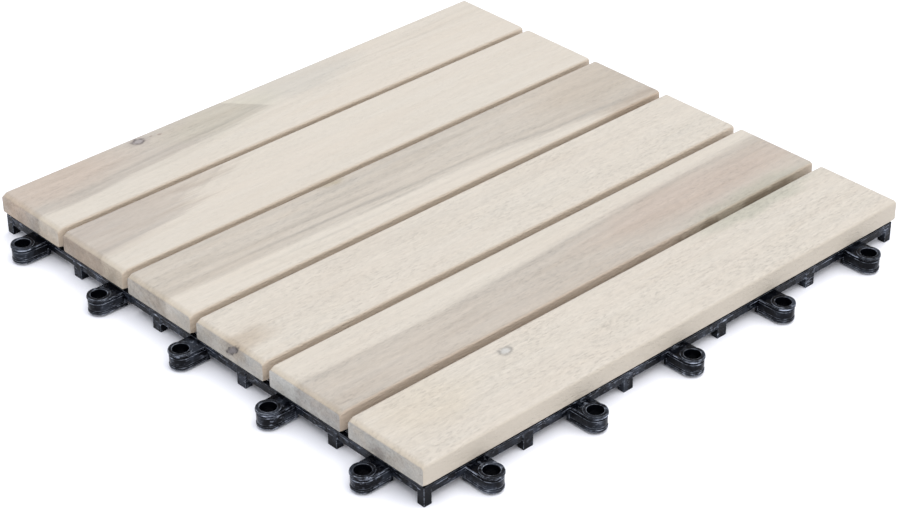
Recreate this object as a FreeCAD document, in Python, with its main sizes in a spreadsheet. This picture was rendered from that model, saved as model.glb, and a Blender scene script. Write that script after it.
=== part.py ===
import FreeCAD, Part
import os
import Sketcher

# Interlocking deck tile: six timber slats screwed from below to one moulded plastic grid.
# X runs across the slats, Y along them and Z up. The origin is the tile's centre on the floor.
# Two sides of the grid, -Y and +X, carry rings that clip over the pegs of the next tile.
# The other two sides, +Y and -X, carry those pegs, each in a pocket cut up into the rim.

SLAT_COUNT = 6
LOOP_COUNT = 5
RIB_COUNT = 9
RIM_FOOT_COUNT = 4
SCREW_ROWS = 2

doc = FreeCAD.newDocument("deck_tile")

# Driving sizes, in millimetres.

SIZES = (
    # The slats, and the room left between them and the next tile's
    ("slat_length", 299.0),
    ("slat_width", 46.0),
    ("slat_thick", 10.5),
    ("slat_low_round", 1.8),
    ("slat_high_round", 1.1),
    ("end_gap", 1.0),
    ("flank_gap", 4.9),
    # The gaps between the slats, as they were set by hand
    ("gap_one", 3.3),
    ("gap_two", 3.4),
    ("gap_three", 3.9),
    ("gap_four", 3.9),
    ("gap_five", 4.6),
    # The grid's rim
    ("base_height", 11.0),
    ("rim_inset", 1.0),
    ("rim_wall", 2.4),
    ("rim_drop", 1.2),
    ("rim_lip_tall", 1.5),
    ("rim_lip_proud", 0.6),
    ("rim_clear", 4.8),
    # The ribs that cross inside the rim
    ("rib_wall", 1.8),
    ("rib_clear", 5.0),
    # The feet
    ("corner_foot", 4.2),
    ("foot_long", 5.7),
    ("foot_deep", 3.9),
    ("cross_foot_span", 14.0),
    # The clip rings
    ("loop_reach", 9.2),
    ("loop_bore_radius", 3.75),
    ("loop_lip_half", 5.7),
    ("loop_waist_half", 5.0),
    ("loop_skirt_half", 5.5),
    ("loop_clear", 0.9),
    ("loop_top", 9.4),
    ("loop_lip_tall", 1.4),
    ("loop_skirt_tall", 3.6),
    # The pegs and their pockets
    ("peg_gap", 0.5),
    ("peg_clear", 2.0),
    ("pocket_gap", 2.0),
    ("pocket_wall", 1.6),
    ("roof_gap", 0.3),
    # The bosses for the screws
    ("screw_shank_radius", 1.75),
    ("screw_hole_gap", 0.15),
    ("screw_head_radius", 3.5),
    ("boss_margin", 1.5),
    ("boss_tall", 5.0),
)

# Places that follow from the driving sizes.

PLACES = (
    ("gap_sum", "Sizes.gap_one + Sizes.gap_two + Sizes.gap_three + Sizes.gap_four + Sizes.gap_five"),
    ("field_width", f"{SLAT_COUNT} * Sizes.slat_width + gap_sum"),
    ("pitch_x", "field_width + Sizes.flank_gap"),
    ("pitch_y", "Sizes.slat_length + Sizes.end_gap"),
    ("screw_pitch", f"pitch_x / {SLAT_COUNT}"),
    ("first_screw_x", f"-screw_pitch * {SLAT_COUNT - 1} / 2"),
    ("rim_x", "field_width / 2 - Sizes.rim_inset"),
    ("rim_y", "Sizes.slat_length / 2 - Sizes.rim_inset"),
    ("rim_top", "Sizes.base_height - Sizes.rim_drop"),
    ("lip_low", "rim_top - Sizes.rim_lip_tall"),
    ("loop_pitch_x", f"pitch_x / {LOOP_COUNT}"),
    ("loop_pitch_y", f"pitch_y / {LOOP_COUNT}"),
    ("rib_pitch_x", "loop_pitch_x / 2"),
    ("rib_pitch_y", "loop_pitch_y / 2"),
    ("first_loop_x", f"-loop_pitch_x * {LOOP_COUNT - 1} / 2"),
    ("first_loop_y", f"-loop_pitch_y * {LOOP_COUNT - 1} / 2"),
    ("first_foot_x", f"-loop_pitch_x * {RIM_FOOT_COUNT - 1} / 2"),
    ("first_foot_y", f"-loop_pitch_y * {RIM_FOOT_COUNT - 1} / 2"),
    ("first_rib_x", f"-rib_pitch_x * {RIB_COUNT - 1} / 2"),
    ("first_rib_y", f"-rib_pitch_y * {RIB_COUNT - 1} / 2"),
    ("loop_x", "rim_x + Sizes.loop_reach"),
    ("loop_y", "rim_y + Sizes.loop_reach"),
    ("peg_x", "pitch_x - loop_x"),
    ("peg_y", "pitch_y - loop_y"),
    ("peg_radius", "Sizes.loop_bore_radius - Sizes.peg_gap"),
    ("pocket_half", "Sizes.loop_lip_half + Sizes.pocket_gap"),
    ("roof_low", "Sizes.loop_top + Sizes.roof_gap"),
    ("boss_half", "Sizes.screw_head_radius + Sizes.boss_margin"),
    ("screw_hole", "Sizes.screw_shank_radius + Sizes.screw_hole_gap"),
    ("screw_row", "2 * loop_pitch_y"),
)

sizes = doc.addObject("Spreadsheet::Sheet", "Sizes")
for row, (alias, value) in enumerate(SIZES, start=1):
    sizes.set(f"A{row}", alias)
    sizes.set(f"B{row}", str(value))
    sizes.setAlias(f"B{row}", alias)
doc.recompute()

places = doc.addObject("Spreadsheet::Sheet", "Places")
for row, (alias, formula) in enumerate(PLACES, start=1):
    places.set(f"A{row}", alias)
    places.set(f"B{row}", f"={formula}")
    places.setAlias(f"B{row}", alias)
    doc.recompute()


# Helpers that tie sketches and features to those sizes.

def measure(text):
    """The present value of an expression in the sheets' terms."""
    answer = sizes.evalExpression(text)
    return float(getattr(answer, "Value", answer))


def new_body(label):
    body = doc.addObject("PartDesign::Body", label)
    body.Label = label
    return body


def origin_part(body, role):
    return next(part for part in body.Origin.OriginFeatures if part.Role == role)


def new_sketch(body, name, plane, shift_x="0", shift_y="0", lift="0"):
    """A sketch on one of the body's own planes, shifted in it and lifted off it."""
    sketch = body.newObject("Sketcher::SketchObject", name)
    sketch.AttachmentSupport = (origin_part(body, plane), [""])
    sketch.MapMode = "FlatFace"
    sketch.setExpression("AttachmentOffset.Base.x", shift_x)
    sketch.setExpression("AttachmentOffset.Base.y", shift_y)
    sketch.setExpression("AttachmentOffset.Base.z", lift)
    return sketch


def pin_point(sketch, curve, end, x, y):
    """Hold one point of a sketch at two distances from the sketch's origin."""
    for kind, text in (("DistanceX", x), ("DistanceY", y)):
        row = sketch.addConstraint(Sketcher.Constraint(kind, -1, 1, curve, end, measure(text)))
        sketch.setExpression(f"Constraints[{row}]", text)


def draw_outline(sketch, corners):
    """A closed outline of straight lines through corners given as pairs of expressions."""
    points = [FreeCAD.Vector(measure(x), measure(y), 0) for x, y in corners]
    count = len(points)
    first = sketch.GeometryCount
    for i in range(count):
        sketch.addGeometry(Part.LineSegment(points[i], points[(i + 1) % count]), False)
    for i in range(count):
        following = first + (i + 1) % count
        sketch.addConstraint(Sketcher.Constraint("Coincident", first + i, 2, following, 1))
    for i, (x, y) in enumerate(corners):
        pin_point(sketch, first + i, 1, x, y)


def draw_box(sketch, low_x, high_x, low_y, high_y):
    draw_outline(sketch, ((low_x, low_y), (high_x, low_y), (high_x, high_y), (low_x, high_y)))


def draw_circle(sketch, x, y, radius):
    centre = FreeCAD.Vector(measure(x), measure(y), 0)
    normal = FreeCAD.Vector(0, 0, 1)
    curve = sketch.addGeometry(Part.Circle(centre, normal, measure(radius)), False)
    row = sketch.addConstraint(Sketcher.Constraint("Radius", curve, measure(radius)))
    sketch.setExpression(f"Constraints[{row}]", radius)
    pin_point(sketch, curve, 3, x, y)


def add_feature(body, kind, name, sketch):
    feature = body.newObject(f"PartDesign::{kind}", name)
    feature.Profile = sketch
    sketch.Visibility = False
    return feature


def rebuild(feature):
    """Rebuild what was touched, and stop at a feature that failed."""
    doc.recompute()
    if "Invalid" in feature.State or "Error" in feature.State or feature.Shape.isNull():
        raise RuntimeError(f"{feature.Name} failed: {feature.State} {feature.getStatusString()}")
    return feature


def pad(body, name, sketch, length, reversed_way=False, midplane=False):
    feature = add_feature(body, "Pad", name, sketch)
    feature.setExpression("Length", length)
    feature.Reversed = reversed_way
    feature.Midplane = midplane
    return rebuild(feature)


def pocket(body, name, sketch, length):
    """Cut upwards from the sketch, and make sure that it took material away."""
    before = body.Shape.Volume
    feature = add_feature(body, "Pocket", name, sketch)
    feature.setExpression("Length", length)
    feature.Reversed = True
    rebuild(feature)
    if body.Shape.Volume >= before:
        raise RuntimeError(f"{name} cut nothing")
    return feature


def revolve(body, name, sketch):
    feature = add_feature(body, "Revolution", name, sketch)
    feature.ReferenceAxis = (sketch, ["V_Axis"])
    feature.Angle = 360
    return rebuild(feature)


def repeat(body, name, originals, axis, pitch, count, second_axis=None, second_pitch="0", second_count=1):
    """Copies of features in a row along one axis, or in a grid along two."""
    pattern = body.newObject("PartDesign::LinearPattern", name)
    pattern.Originals = originals
    pattern.Direction = (origin_part(body, axis), [""])
    pattern.Mode = "Spacing"
    pattern.setExpression("Offset", pitch)
    pattern.Occurrences = count
    if second_axis:
        pattern.Direction2 = (origin_part(body, second_axis), [""])
        pattern.Mode2 = "Spacing"
        pattern.setExpression("Offset2", second_pitch)
        pattern.Occurrences2 = second_count
        pattern.Spacings2 = [-1.0] * (second_count - 1)
    body.Tip = pattern
    return rebuild(pattern)


# The moulded grid. Its members are drawn one family at a time and then joined.

def new_family(label):
    """A body whose members stand apart from one another until they are joined."""
    body = new_body(label)
    body.AllowCompound = True
    return body


def make_rim():
    """The rim: a wall with a proud band along its upper edge, and the feet moulded into it."""
    body = new_body("rim")
    inner = ("-(Places.rim_x - Sizes.rim_wall)", "Places.rim_x - Sizes.rim_wall",
             "-(Places.rim_y - Sizes.rim_wall)", "Places.rim_y - Sizes.rim_wall")
    wall = new_sketch(body, "rim_wall_sketch", "XY_Plane", lift="Sizes.rim_clear")
    draw_box(wall, "-(Places.rim_x - Sizes.rim_lip_proud)", "Places.rim_x - Sizes.rim_lip_proud",
             "-(Places.rim_y - Sizes.rim_lip_proud)", "Places.rim_y - Sizes.rim_lip_proud")
    draw_box(wall, *inner)
    pad(body, "rim_wall", wall, "Places.lip_low - Sizes.rim_clear")
    lip = new_sketch(body, "rim_lip_sketch", "XY_Plane", lift="Places.lip_low")
    draw_box(lip, "-Places.rim_x", "Places.rim_x", "-Places.rim_y", "Places.rim_y")
    draw_box(lip, *inner)
    pad(body, "rim_lip", lip, "Sizes.rim_lip_tall")
    corners = new_sketch(body, "corner_feet_sketch", "XY_Plane")
    for sign_x in ("", "-"):
        for sign_y in ("", "-"):
            draw_box(corners, f"{sign_x}(Places.rim_x - Sizes.corner_foot)", f"{sign_x}Places.rim_x",
                     f"{sign_y}(Places.rim_y - Sizes.corner_foot)", f"{sign_y}Places.rim_y")
    pad(body, "corner_feet", corners, "Places.rim_top")
    foot_half = "Sizes.foot_long / 2"
    ends = new_sketch(body, "end_feet_sketch", "XY_Plane")
    for sign in ("", "-"):
        draw_box(ends, f"Places.first_foot_x - {foot_half}", f"Places.first_foot_x + {foot_half}",
                 f"{sign}(Places.rim_y - Sizes.foot_deep)", f"{sign}Places.rim_y")
    first = pad(body, "end_feet_pair", ends, "Places.lip_low")
    repeat(body, "end_feet", [first], "X_Axis", "Places.loop_pitch_x", RIM_FOOT_COUNT)
    flanks = new_sketch(body, "side_feet_sketch", "XY_Plane")
    for sign in ("", "-"):
        draw_box(flanks, f"{sign}(Places.rim_x - Sizes.foot_deep)", f"{sign}Places.rim_x",
                 f"Places.first_foot_y - {foot_half}", f"Places.first_foot_y + {foot_half}")
    first = pad(body, "side_feet_pair", flanks, "Places.lip_low")
    repeat(body, "side_feet", [first], "Y_Axis", "Places.loop_pitch_y", RIM_FOOT_COUNT)
    return body


def make_ribs():
    """Two families of ribs at right angles, whose upper edges carry the slats."""
    inner_x = "Places.rim_x - Sizes.rim_wall / 2"
    inner_y = "Places.rim_y - Sizes.rim_wall / 2"
    along = ("Places.first_rib_x - Sizes.rib_wall / 2", "Places.first_rib_x + Sizes.rib_wall / 2",
             f"-({inner_y})", inner_y)
    across = (f"-({inner_x})", inner_x,
              "Places.first_rib_y - Sizes.rib_wall / 2", "Places.first_rib_y + Sizes.rib_wall / 2")
    families = []
    for name, axis, pitch, box in (("ribs_along", "X_Axis", "Places.rib_pitch_x", along),
                                   ("ribs_across", "Y_Axis", "Places.rib_pitch_y", across)):
        body = new_family(name)
        rib = new_sketch(body, f"{name}_sketch", "XY_Plane", lift="Sizes.rib_clear")
        draw_box(rib, *box)
        first = pad(body, f"{name}_first", rib, "Sizes.base_height - Sizes.rib_clear")
        repeat(body, f"{name}_row", [first], axis, pitch, RIB_COUNT)
        families.append(body)
    return families


def make_cross_feet():
    """Short bars that cross under the crossings of the ribs and reach the floor."""
    body = new_family("cross_feet")
    draw_cross_foot(body, "centre_foot", "0", "0")
    arms = draw_cross_foot(body, "cross_foot", "Places.first_foot_x", "Places.first_foot_y")
    repeat(body, "cross_foot_grid", arms, "X_Axis", "Places.loop_pitch_x", RIM_FOOT_COUNT,
           "Y_Axis", "Places.loop_pitch_y", RIM_FOOT_COUNT)
    return body


def draw_cross_foot(body, name, place_x, place_y):
    arms = []
    for number, (span_x, span_y) in enumerate((("cross_foot_span", "rib_wall"),
                                               ("rib_wall", "cross_foot_span")), start=1):
        bar = new_sketch(body, f"{name}_sketch_{number}", "XY_Plane", place_x, place_y)
        draw_box(bar, f"-Sizes.{span_x} / 2", f"Sizes.{span_x} / 2",
                 f"-Sizes.{span_y} / 2", f"Sizes.{span_y} / 2")
        arms.append(pad(body, f"{name}_arm_{number}", bar, "Sizes.base_height"))
    return arms


def loop_profile():
    """Half the section of a clip ring, from its axis out: skirt, narrower waist and proud lip."""
    skirt_top = "Sizes.loop_clear + Sizes.loop_skirt_tall"
    lip_low = "Sizes.loop_top - Sizes.loop_lip_tall"
    return (
        ("Sizes.loop_skirt_half", "Sizes.loop_clear"),
        ("Sizes.loop_skirt_half", skirt_top),
        ("Sizes.loop_waist_half", f"{skirt_top} + Sizes.loop_skirt_half - Sizes.loop_waist_half"),
        ("Sizes.loop_waist_half", f"{lip_low} - (Sizes.loop_lip_half - Sizes.loop_waist_half)"),
        ("Sizes.loop_lip_half", lip_low),
        ("Sizes.loop_lip_half", "Sizes.loop_top"),
    )


def make_loops(side, plane, lift, run, inwards, bore_x, bore_y):
    """A row of clip rings: a straight arm out of the rim, a round nose and the peg's bore."""
    body = new_family(f"{side}_loops")
    half = loop_profile()
    mirrored = tuple((f"-({x})", z) for x, z in reversed(half))
    place = f"Places.first_loop_{run}"
    arm = new_sketch(body, f"{side}_arm_sketch", plane, place, "0", lift)
    draw_outline(arm, half + mirrored)
    first_arm = pad(body, f"{side}_arm", arm, "Sizes.loop_reach + Sizes.rim_wall", inwards)
    nose = new_sketch(body, f"{side}_nose_sketch", plane, place, "0", lift)
    draw_outline(nose, (("0", "Sizes.loop_clear"),) + half + (("0", "Sizes.loop_top"),))
    first_nose = revolve(body, f"{side}_nose", nose)
    bore = new_sketch(body, f"{side}_bore_sketch", "XY_Plane")
    draw_circle(bore, bore_x, bore_y, "Sizes.loop_bore_radius")
    first_bore = pocket(body, f"{side}_bore", bore, "Sizes.base_height")
    repeat(body, f"{side}_loop_row", [first_arm, first_nose, first_bore], f"{run.upper()}_Axis",
           f"Places.loop_pitch_{run}", LOOP_COUNT)
    return body


def draw_peg_box(sketch, side, half, outer, peg):
    """A box round the first peg's place, out to a face near the rim's on the +Y or the -X side."""
    inner = f"{peg} - ({half})"
    if side == "back":
        draw_box(sketch, f"Places.first_loop_x - ({half})", f"Places.first_loop_x + ({half})", inner, outer)
    else:
        draw_box(sketch, f"-({outer})", f"-({inner})",
                 f"Places.first_loop_y - ({half})", f"Places.first_loop_y + ({half})")


def make_peg_row(side, run, rim_face, peg):
    """Three families for one side: blocks out to the slats' edge, their hollows and the pegs."""
    row = (f"{run.upper()}_Axis", f"Places.loop_pitch_{run}", LOOP_COUNT)
    blocks = new_family(f"{side}_blocks")
    block = new_sketch(blocks, f"{side}_block_sketch", "XY_Plane", lift="Sizes.rib_clear")
    draw_peg_box(block, side, "Places.pocket_half + Sizes.pocket_wall",
                 f"{rim_face} + Sizes.rim_inset", peg)
    first = pad(blocks, f"{side}_block", block, "Sizes.base_height - Sizes.rib_clear")
    repeat(blocks, f"{side}_block_row", [first], *row)
    hollows = new_family(f"{side}_hollows")
    hollow = new_sketch(hollows, f"{side}_hollow_sketch", "XY_Plane")
    draw_peg_box(hollow, side, "Places.pocket_half", f"{rim_face} + 2 * Sizes.rim_inset", peg)
    first = pad(hollows, f"{side}_hollow", hollow, "Places.roof_low")
    repeat(hollows, f"{side}_hollow_row", [first], *row)
    pegs = new_family(f"{side}_pegs")
    pin = new_sketch(pegs, f"{side}_peg_sketch", "XY_Plane", lift="Sizes.peg_clear")
    if side == "back":
        draw_circle(pin, "Places.first_loop_x", peg, "Places.peg_radius")
    else:
        draw_circle(pin, f"-({peg})", "Places.first_loop_y", "Places.peg_radius")
    first = pad(pegs, f"{side}_peg", pin, "Sizes.base_height - Sizes.peg_clear")
    repeat(pegs, f"{side}_peg_row", [first], *row)
    return blocks, hollows, pegs


def make_bosses():
    """A square boss on a rib for each screw, two to a slat, and the holes for their shanks."""
    grid = ("X_Axis", "Places.screw_pitch", SLAT_COUNT, "Y_Axis", "2 * Places.screw_row", SCREW_ROWS)
    bosses = new_family("bosses")
    boss = new_sketch(bosses, "boss_sketch", "XY_Plane", lift="Sizes.base_height - Sizes.boss_tall")
    draw_box(boss, "Places.first_screw_x - Places.boss_half", "Places.first_screw_x + Places.boss_half",
             "-Places.screw_row - Places.boss_half", "-Places.screw_row + Places.boss_half")
    first = pad(bosses, "boss", boss, "Sizes.boss_tall")
    repeat(bosses, "boss_grid", [first], *grid)
    holes = new_family("boss_holes")
    hole = new_sketch(holes, "boss_hole_sketch", "XY_Plane")
    draw_circle(hole, "Places.first_screw_x", "-Places.screw_row", "Places.screw_hole")
    first = pad(holes, "boss_hole", hole, "2 * Sizes.base_height")
    repeat(holes, "boss_hole_grid", [first], *grid)
    return bosses, holes


def join(name, members, refine=False):
    whole = doc.addObject("Part::MultiFuse", name)
    whole.Shapes = members
    whole.Refine = refine
    return rebuild(whole)


def make_base():
    back_blocks, back_hollows, back_pegs = make_peg_row("back", "x", "Places.rim_y", "Places.peg_y")
    left_blocks, left_hollows, left_pegs = make_peg_row("left", "y", "Places.rim_x", "Places.peg_x")
    bosses, holes = make_bosses()
    members = [make_rim(), *make_ribs(), make_cross_feet(), back_blocks, left_blocks, bosses]
    members.append(make_loops("front", "XZ_Plane", "Places.loop_y", "x", True,
                              "Places.first_loop_x", "-Places.loop_y"))
    members.append(make_loops("side", "YZ_Plane", "Places.loop_x", "y", True,
                              "Places.loop_x", "Places.first_loop_y"))
    solid = join("solid_grid", members)
    spaces = join("grid_spaces", [back_hollows, left_hollows, holes])
    opened = doc.addObject("Part::Cut", "opened_grid")
    opened.Base = solid
    opened.Tool = spaces
    opened.Refine = False
    rebuild(opened)
    return join("base_grid", [opened, back_pegs, left_pegs], refine=True)


# The slats.

GAPS = ("gap_one", "gap_two", "gap_three", "gap_four", "gap_five")


def edges_where(shape, test):
    return [f"Edge{i}" for i, edge in enumerate(shape.Edges, start=1) if test(edge.BoundBox)]


def round_edges(body, name, edges, alias):
    base = body.Tip
    feature = body.newObject("PartDesign::Fillet", name)
    feature.Base = (base, edges)
    feature.setExpression("Radius", f"Sizes.{alias}")
    body.Tip = feature
    rebuild(feature)


def make_slat(number):
    """One slat: a planed bar with rounded arrises."""
    body = new_body(f"slat_{number}")
    before = " + ".join(f"Sizes.{gap}" for gap in GAPS[:number - 1]) or "0"
    centre = f"-Places.field_width / 2 + {number - 0.5} * Sizes.slat_width + {before}"
    body.setExpression("Placement.Base.x", centre)
    body.setExpression("Placement.Base.z", "Sizes.base_height")
    section = new_sketch(body, f"slat_{number}_section", "XZ_Plane")
    draw_box(section, "-Sizes.slat_width / 2", "Sizes.slat_width / 2", "0", "Sizes.slat_thick")
    pad(body, f"slat_{number}_bar", section, "Sizes.slat_length", midplane=True)
    shape = body.Tip.Shape
    middle = measure("Sizes.slat_thick") / 2
    half_long = measure("Sizes.slat_length") / 2
    low = edges_where(shape, lambda box: box.YLength > half_long and box.ZMax < middle)
    round_edges(body, f"slat_{number}_low_arris", low, "slat_low_round")
    shape = body.Tip.Shape
    flank = measure("Sizes.slat_width") / 2 - 0.001
    high = edges_where(shape, lambda box: (box.YLength > half_long and box.ZMin > middle
                                           and max(abs(box.XMin), abs(box.XMax)) > flank))
    round_edges(body, f"slat_{number}_high_arris", high, "slat_high_round")
    return body


parts = [make_base()]
parts += [make_slat(number) for number in range(1, SLAT_COUNT + 1)]
doc.recompute()

# Every object must have been rebuilt without a fault before anything is written.

for thing in doc.Objects:
    if "Invalid" in thing.State or "Error" in thing.State:
        raise RuntimeError(f"{thing.Name} failed: {thing.State}")
for part in parts:
    if part.Shape.isNull() or not part.Shape.isValid():
        raise RuntimeError(f"{part.Label} has no valid shape")

os.makedirs("parts", exist_ok=True)
for part in parts:
    part.Shape.exportStep(f"parts/{part.Label}.step")
    volume = part.Shape.Volume / 1000
    print(f"{part.Label}: {len(part.Shape.Solids)} solids, {volume:.2f} cm3, {len(part.Shape.Faces)} faces")
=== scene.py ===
# %% [markdown]
# # A deck tile of six limed slats on a moulded grid
# The real object is a floor tile for a balcony: six planed slats of pale timber, held from below by
# screws, on one black plastic grid that clips to the grids beside it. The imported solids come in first
# and stay fixed. Everything made here is laid over them, in metres and in the same frame: X across
# the slats, Y along them, Z up.

# %% Load the fixed frame
import math
import bmesh
import bpy
from mathutils import Matrix, Vector


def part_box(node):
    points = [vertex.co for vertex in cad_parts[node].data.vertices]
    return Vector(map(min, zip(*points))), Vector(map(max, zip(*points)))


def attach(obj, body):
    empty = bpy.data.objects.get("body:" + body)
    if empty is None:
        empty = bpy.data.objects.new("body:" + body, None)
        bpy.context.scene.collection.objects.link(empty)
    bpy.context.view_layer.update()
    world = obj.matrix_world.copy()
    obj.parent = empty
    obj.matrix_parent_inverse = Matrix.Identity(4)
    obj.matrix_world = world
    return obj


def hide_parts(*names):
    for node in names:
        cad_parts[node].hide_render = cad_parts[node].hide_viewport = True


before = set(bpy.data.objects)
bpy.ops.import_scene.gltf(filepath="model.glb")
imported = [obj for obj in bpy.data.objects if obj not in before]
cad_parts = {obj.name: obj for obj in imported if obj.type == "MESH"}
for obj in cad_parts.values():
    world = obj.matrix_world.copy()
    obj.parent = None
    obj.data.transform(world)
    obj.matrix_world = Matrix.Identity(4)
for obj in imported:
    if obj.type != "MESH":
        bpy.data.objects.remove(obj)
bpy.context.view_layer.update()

MM = 0.001

# %% [markdown]
# ## Where the photograph was taken from
# The slats' corners and the ten clip rings are points whose places are known from the solids, so the
# camera's turn, height and distance follow from where they stand in the picture. A long lens
# from about a metre away gives the weak perspective. The camera is made from its angles and one
# target point instead of being placed by eye.

# %% Camera
IMAGE_WIDE = 900
SENSOR = 36.0
FOCAL_PIXELS = 2425.6
camera_turn = math.radians(47.316)
camera_rise = math.radians(32.014)
camera_roll = math.radians(-0.476)
camera_away = 1132.6 * MM
camera_target = Vector((14.37, -11.41, 0.0)) * MM

back = Vector((math.sin(camera_turn) * math.cos(camera_rise),
               -math.cos(camera_turn) * math.cos(camera_rise),
               math.sin(camera_rise)))
across = Vector((math.cos(camera_turn), math.sin(camera_turn), 0.0))
upward = back.cross(across)
level_across = across.copy()
across = level_across * math.cos(camera_roll) + upward * math.sin(camera_roll)
upward = upward * math.cos(camera_roll) - level_across * math.sin(camera_roll)

lens = bpy.data.cameras.new("camera")
lens.sensor_width = SENSOR
lens.lens = FOCAL_PIXELS * SENSOR / IMAGE_WIDE
camera = bpy.data.objects.new("camera", lens)
turn = Matrix((across, upward, back)).transposed().to_4x4()
camera.matrix_world = Matrix.Translation(camera_target + back * camera_away) @ turn
bpy.context.scene.collection.objects.link(camera)
bpy.context.scene.camera = camera
print("lens", round(lens.lens, 2), "mm")

# %% [markdown]
# ## Small tools for node trees
# Every finish and every repeated piece below is a tree of nodes. A few short helpers keep them
# readable: one adds a node and fills its inputs, one writes a sum as one line, and the others mix
# two colours, spread a value over a new range and lay a cloud of noise.

# %% Helpers for node trees
def add(tree, kind, inputs=None, **settings):
    """A node whose inputs take plain values or the outputs of other nodes."""
    node = tree.nodes.new(kind)
    for key, value in settings.items():
        setattr(node, key, value)
    fill(tree, node, inputs or {})
    return node


def fill(tree, node, inputs):
    """Give a node's inputs plain values or links from other nodes' outputs."""
    for key, value in inputs.items():
        if isinstance(value, bpy.types.NodeSocket):
            tree.links.new(value, node.inputs[key])
        else:
            node.inputs[key].default_value = value


def maths(tree, operation, *values, clamp=False):
    """One sum, of plain values or the outputs of other nodes."""
    node = add(tree, "ShaderNodeMath", operation=operation, use_clamp=clamp)
    fill(tree, node, dict(enumerate(values)))
    return node.outputs[0]


def sockets(tree, side, rows):
    """Named inputs or outputs of a group, given as (name, kind, default)."""
    for name, kind, value in rows:
        socket = tree.interface.new_socket(name, in_out=side, socket_type=f"NodeSocket{kind}")
        if value is not None:
            socket.default_value = value


# %% Helpers for finishes
def blend(tree, factor, first, second, kind="MIX"):
    """A mixture of two colours."""
    node = add(tree, "ShaderNodeMix", {"Factor": factor, "A": first, "B": second}, data_type="RGBA",
               blend_type=kind)
    return node.outputs[2]


def remap(tree, value, low, high, to_low=0.0, to_high=1.0, kind="LINEAR"):
    """A value spread from one range over another, and held at its ends."""
    node = add(tree, "ShaderNodeMapRange", {"Value": value, "From Min": low, "From Max": high,
                                            "To Min": to_low, "To Max": to_high}, interpolation_type=kind)
    return node.outputs[0]


def cloud(tree, where, scale, detail=2.0, rough=0.5):
    """A cloud of noise, with a value and a colour to read."""
    return add(tree, "ShaderNodeTexNoise",
               {"Vector": where, "Scale": scale, "Detail": detail, "Roughness": rough})


def new_finish(name):
    """A material with an empty tree."""
    material = bpy.data.materials.new(name)
    material.use_nodes = True
    material.node_tree.nodes.clear()
    return material, material.node_tree


# %% [markdown]
# ## The slats
# Each slat is a planed bar whose upper arrises were eased by hand. A bevel would round every edge
# alike, but on the real one the rounds are wider above than below, and the ends slope off in a band
# that is wider near the camera and crisper at the far side. So a tree draws a rectangle, rounds its
# corners and sweeps it along a line. Extra rings at both ends draw the upper side in, in an almost
# straight slope, and leave the flanks nearly upright. A slow noise takes about a tenth of a
# millimetre at most off the top and the flanks, since a planed bar is never quite true. The tree also
# writes how near each point is to an arris, so that the finish can rub the limewash away there.

# %% Section of a slat
ROUND_STEPS = 6


def draw_section(tree, given):
    """A rectangle with rounded corners. It turns over when it is swept, so +Y here ends up below."""
    outline = add(tree, "GeometryNodeCurvePrimitiveQuadrilateral",
                  {"Width": given["Width"], "Height": given["Thickness"]})
    corner = add(tree, "ShaderNodeSeparateXYZ", {0: add(tree, "GeometryNodeInputPosition").outputs[0]})
    is_under = maths(tree, "GREATER_THAN", corner.outputs["Y"], 0.0)
    radius = add(tree, "ShaderNodeMix",
                 {"Factor": is_under, "A": given["Top Round"], "B": given["Under Round"]})
    return add(tree, "GeometryNodeFilletCurve",
               {"Curve": outline.outputs[0], "Count": ROUND_STEPS, "Radius": radius.outputs[0],
                "Limit Radius": True}, mode="POLY")


# %% Line that the section is swept along
# An end's rings, how long its slope is for each unit of ease, and the power that bends the slope
END_RINGS = 4
END_REACH = 1.9
END_CURVE = 1.15


def draw_spine(tree, given, half_long):
    """A line along Y, with rings crowded at both ends, that says how far each ring is drawn in."""
    spine = add(tree, "GeometryNodeCurvePrimitiveLine", {"Start": (0, 0, 0), "End": (0, 1, 0)})
    spine = add(tree, "GeometryNodeResampleCurve", {"Curve": spine.outputs[0], "Count": given["Rings"]})
    index = add(tree, "GeometryNodeInputIndex").outputs[0]
    last = maths(tree, "SUBTRACT", given["Rings"], 1.0)
    from_end = maths(tree, "MINIMUM", index, maths(tree, "SUBTRACT", last, index))
    is_far = maths(tree, "GREATER_THAN", index, maths(tree, "MULTIPLY", last, 0.5))
    weaker = maths(tree, "MULTIPLY_ADD", is_far, maths(tree, "SUBTRACT", given["Far Share"], 1.0), 1.0)
    end_ease = maths(tree, "MULTIPLY", given["End Ease"], weaker)
    ramp = maths(tree, "DIVIDE", from_end, float(END_RINGS), clamp=True)
    dip = maths(tree, "POWER", maths(tree, "SUBTRACT", 1.0, ramp), END_CURVE)
    drawn_in = maths(tree, "MULTIPLY", end_ease, dip)
    slope = maths(tree, "MULTIPLY", end_ease, END_REACH)
    pulled = maths(tree, "MULTIPLY", slope, ramp)
    share = maths(tree, "DIVIDE", maths(tree, "SUBTRACT", index, float(END_RINGS)),
                  maths(tree, "SUBTRACT", last, 2.0 * END_RINGS), clamp=True)
    straight = maths(tree, "SUBTRACT", half_long, slope)
    middle = maths(tree, "MULTIPLY", maths(tree, "MULTIPLY_ADD", share, 2.0, -1.0), straight)
    which_end = maths(tree, "SIGN", maths(tree, "SUBTRACT", share, 0.5))
    at_end = maths(tree, "LESS_THAN", from_end, float(END_RINGS))
    end_y = maths(tree, "MULTIPLY", which_end, maths(tree, "SUBTRACT", half_long, pulled))
    along = add(tree, "ShaderNodeMix", {"Factor": at_end, "A": middle, "B": end_y})
    place = add(tree, "ShaderNodeCombineXYZ", {"Y": along.outputs[0]})
    spine = add(tree, "GeometryNodeSetPosition",
                {"Geometry": spine.outputs[0], "Position": place.outputs[0]})
    return add(tree, "GeometryNodeStoreNamedAttribute",
               {"Geometry": spine.outputs[0], "Name": "drawn_in", "Value": drawn_in},
               data_type="FLOAT", domain="POINT")


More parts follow.
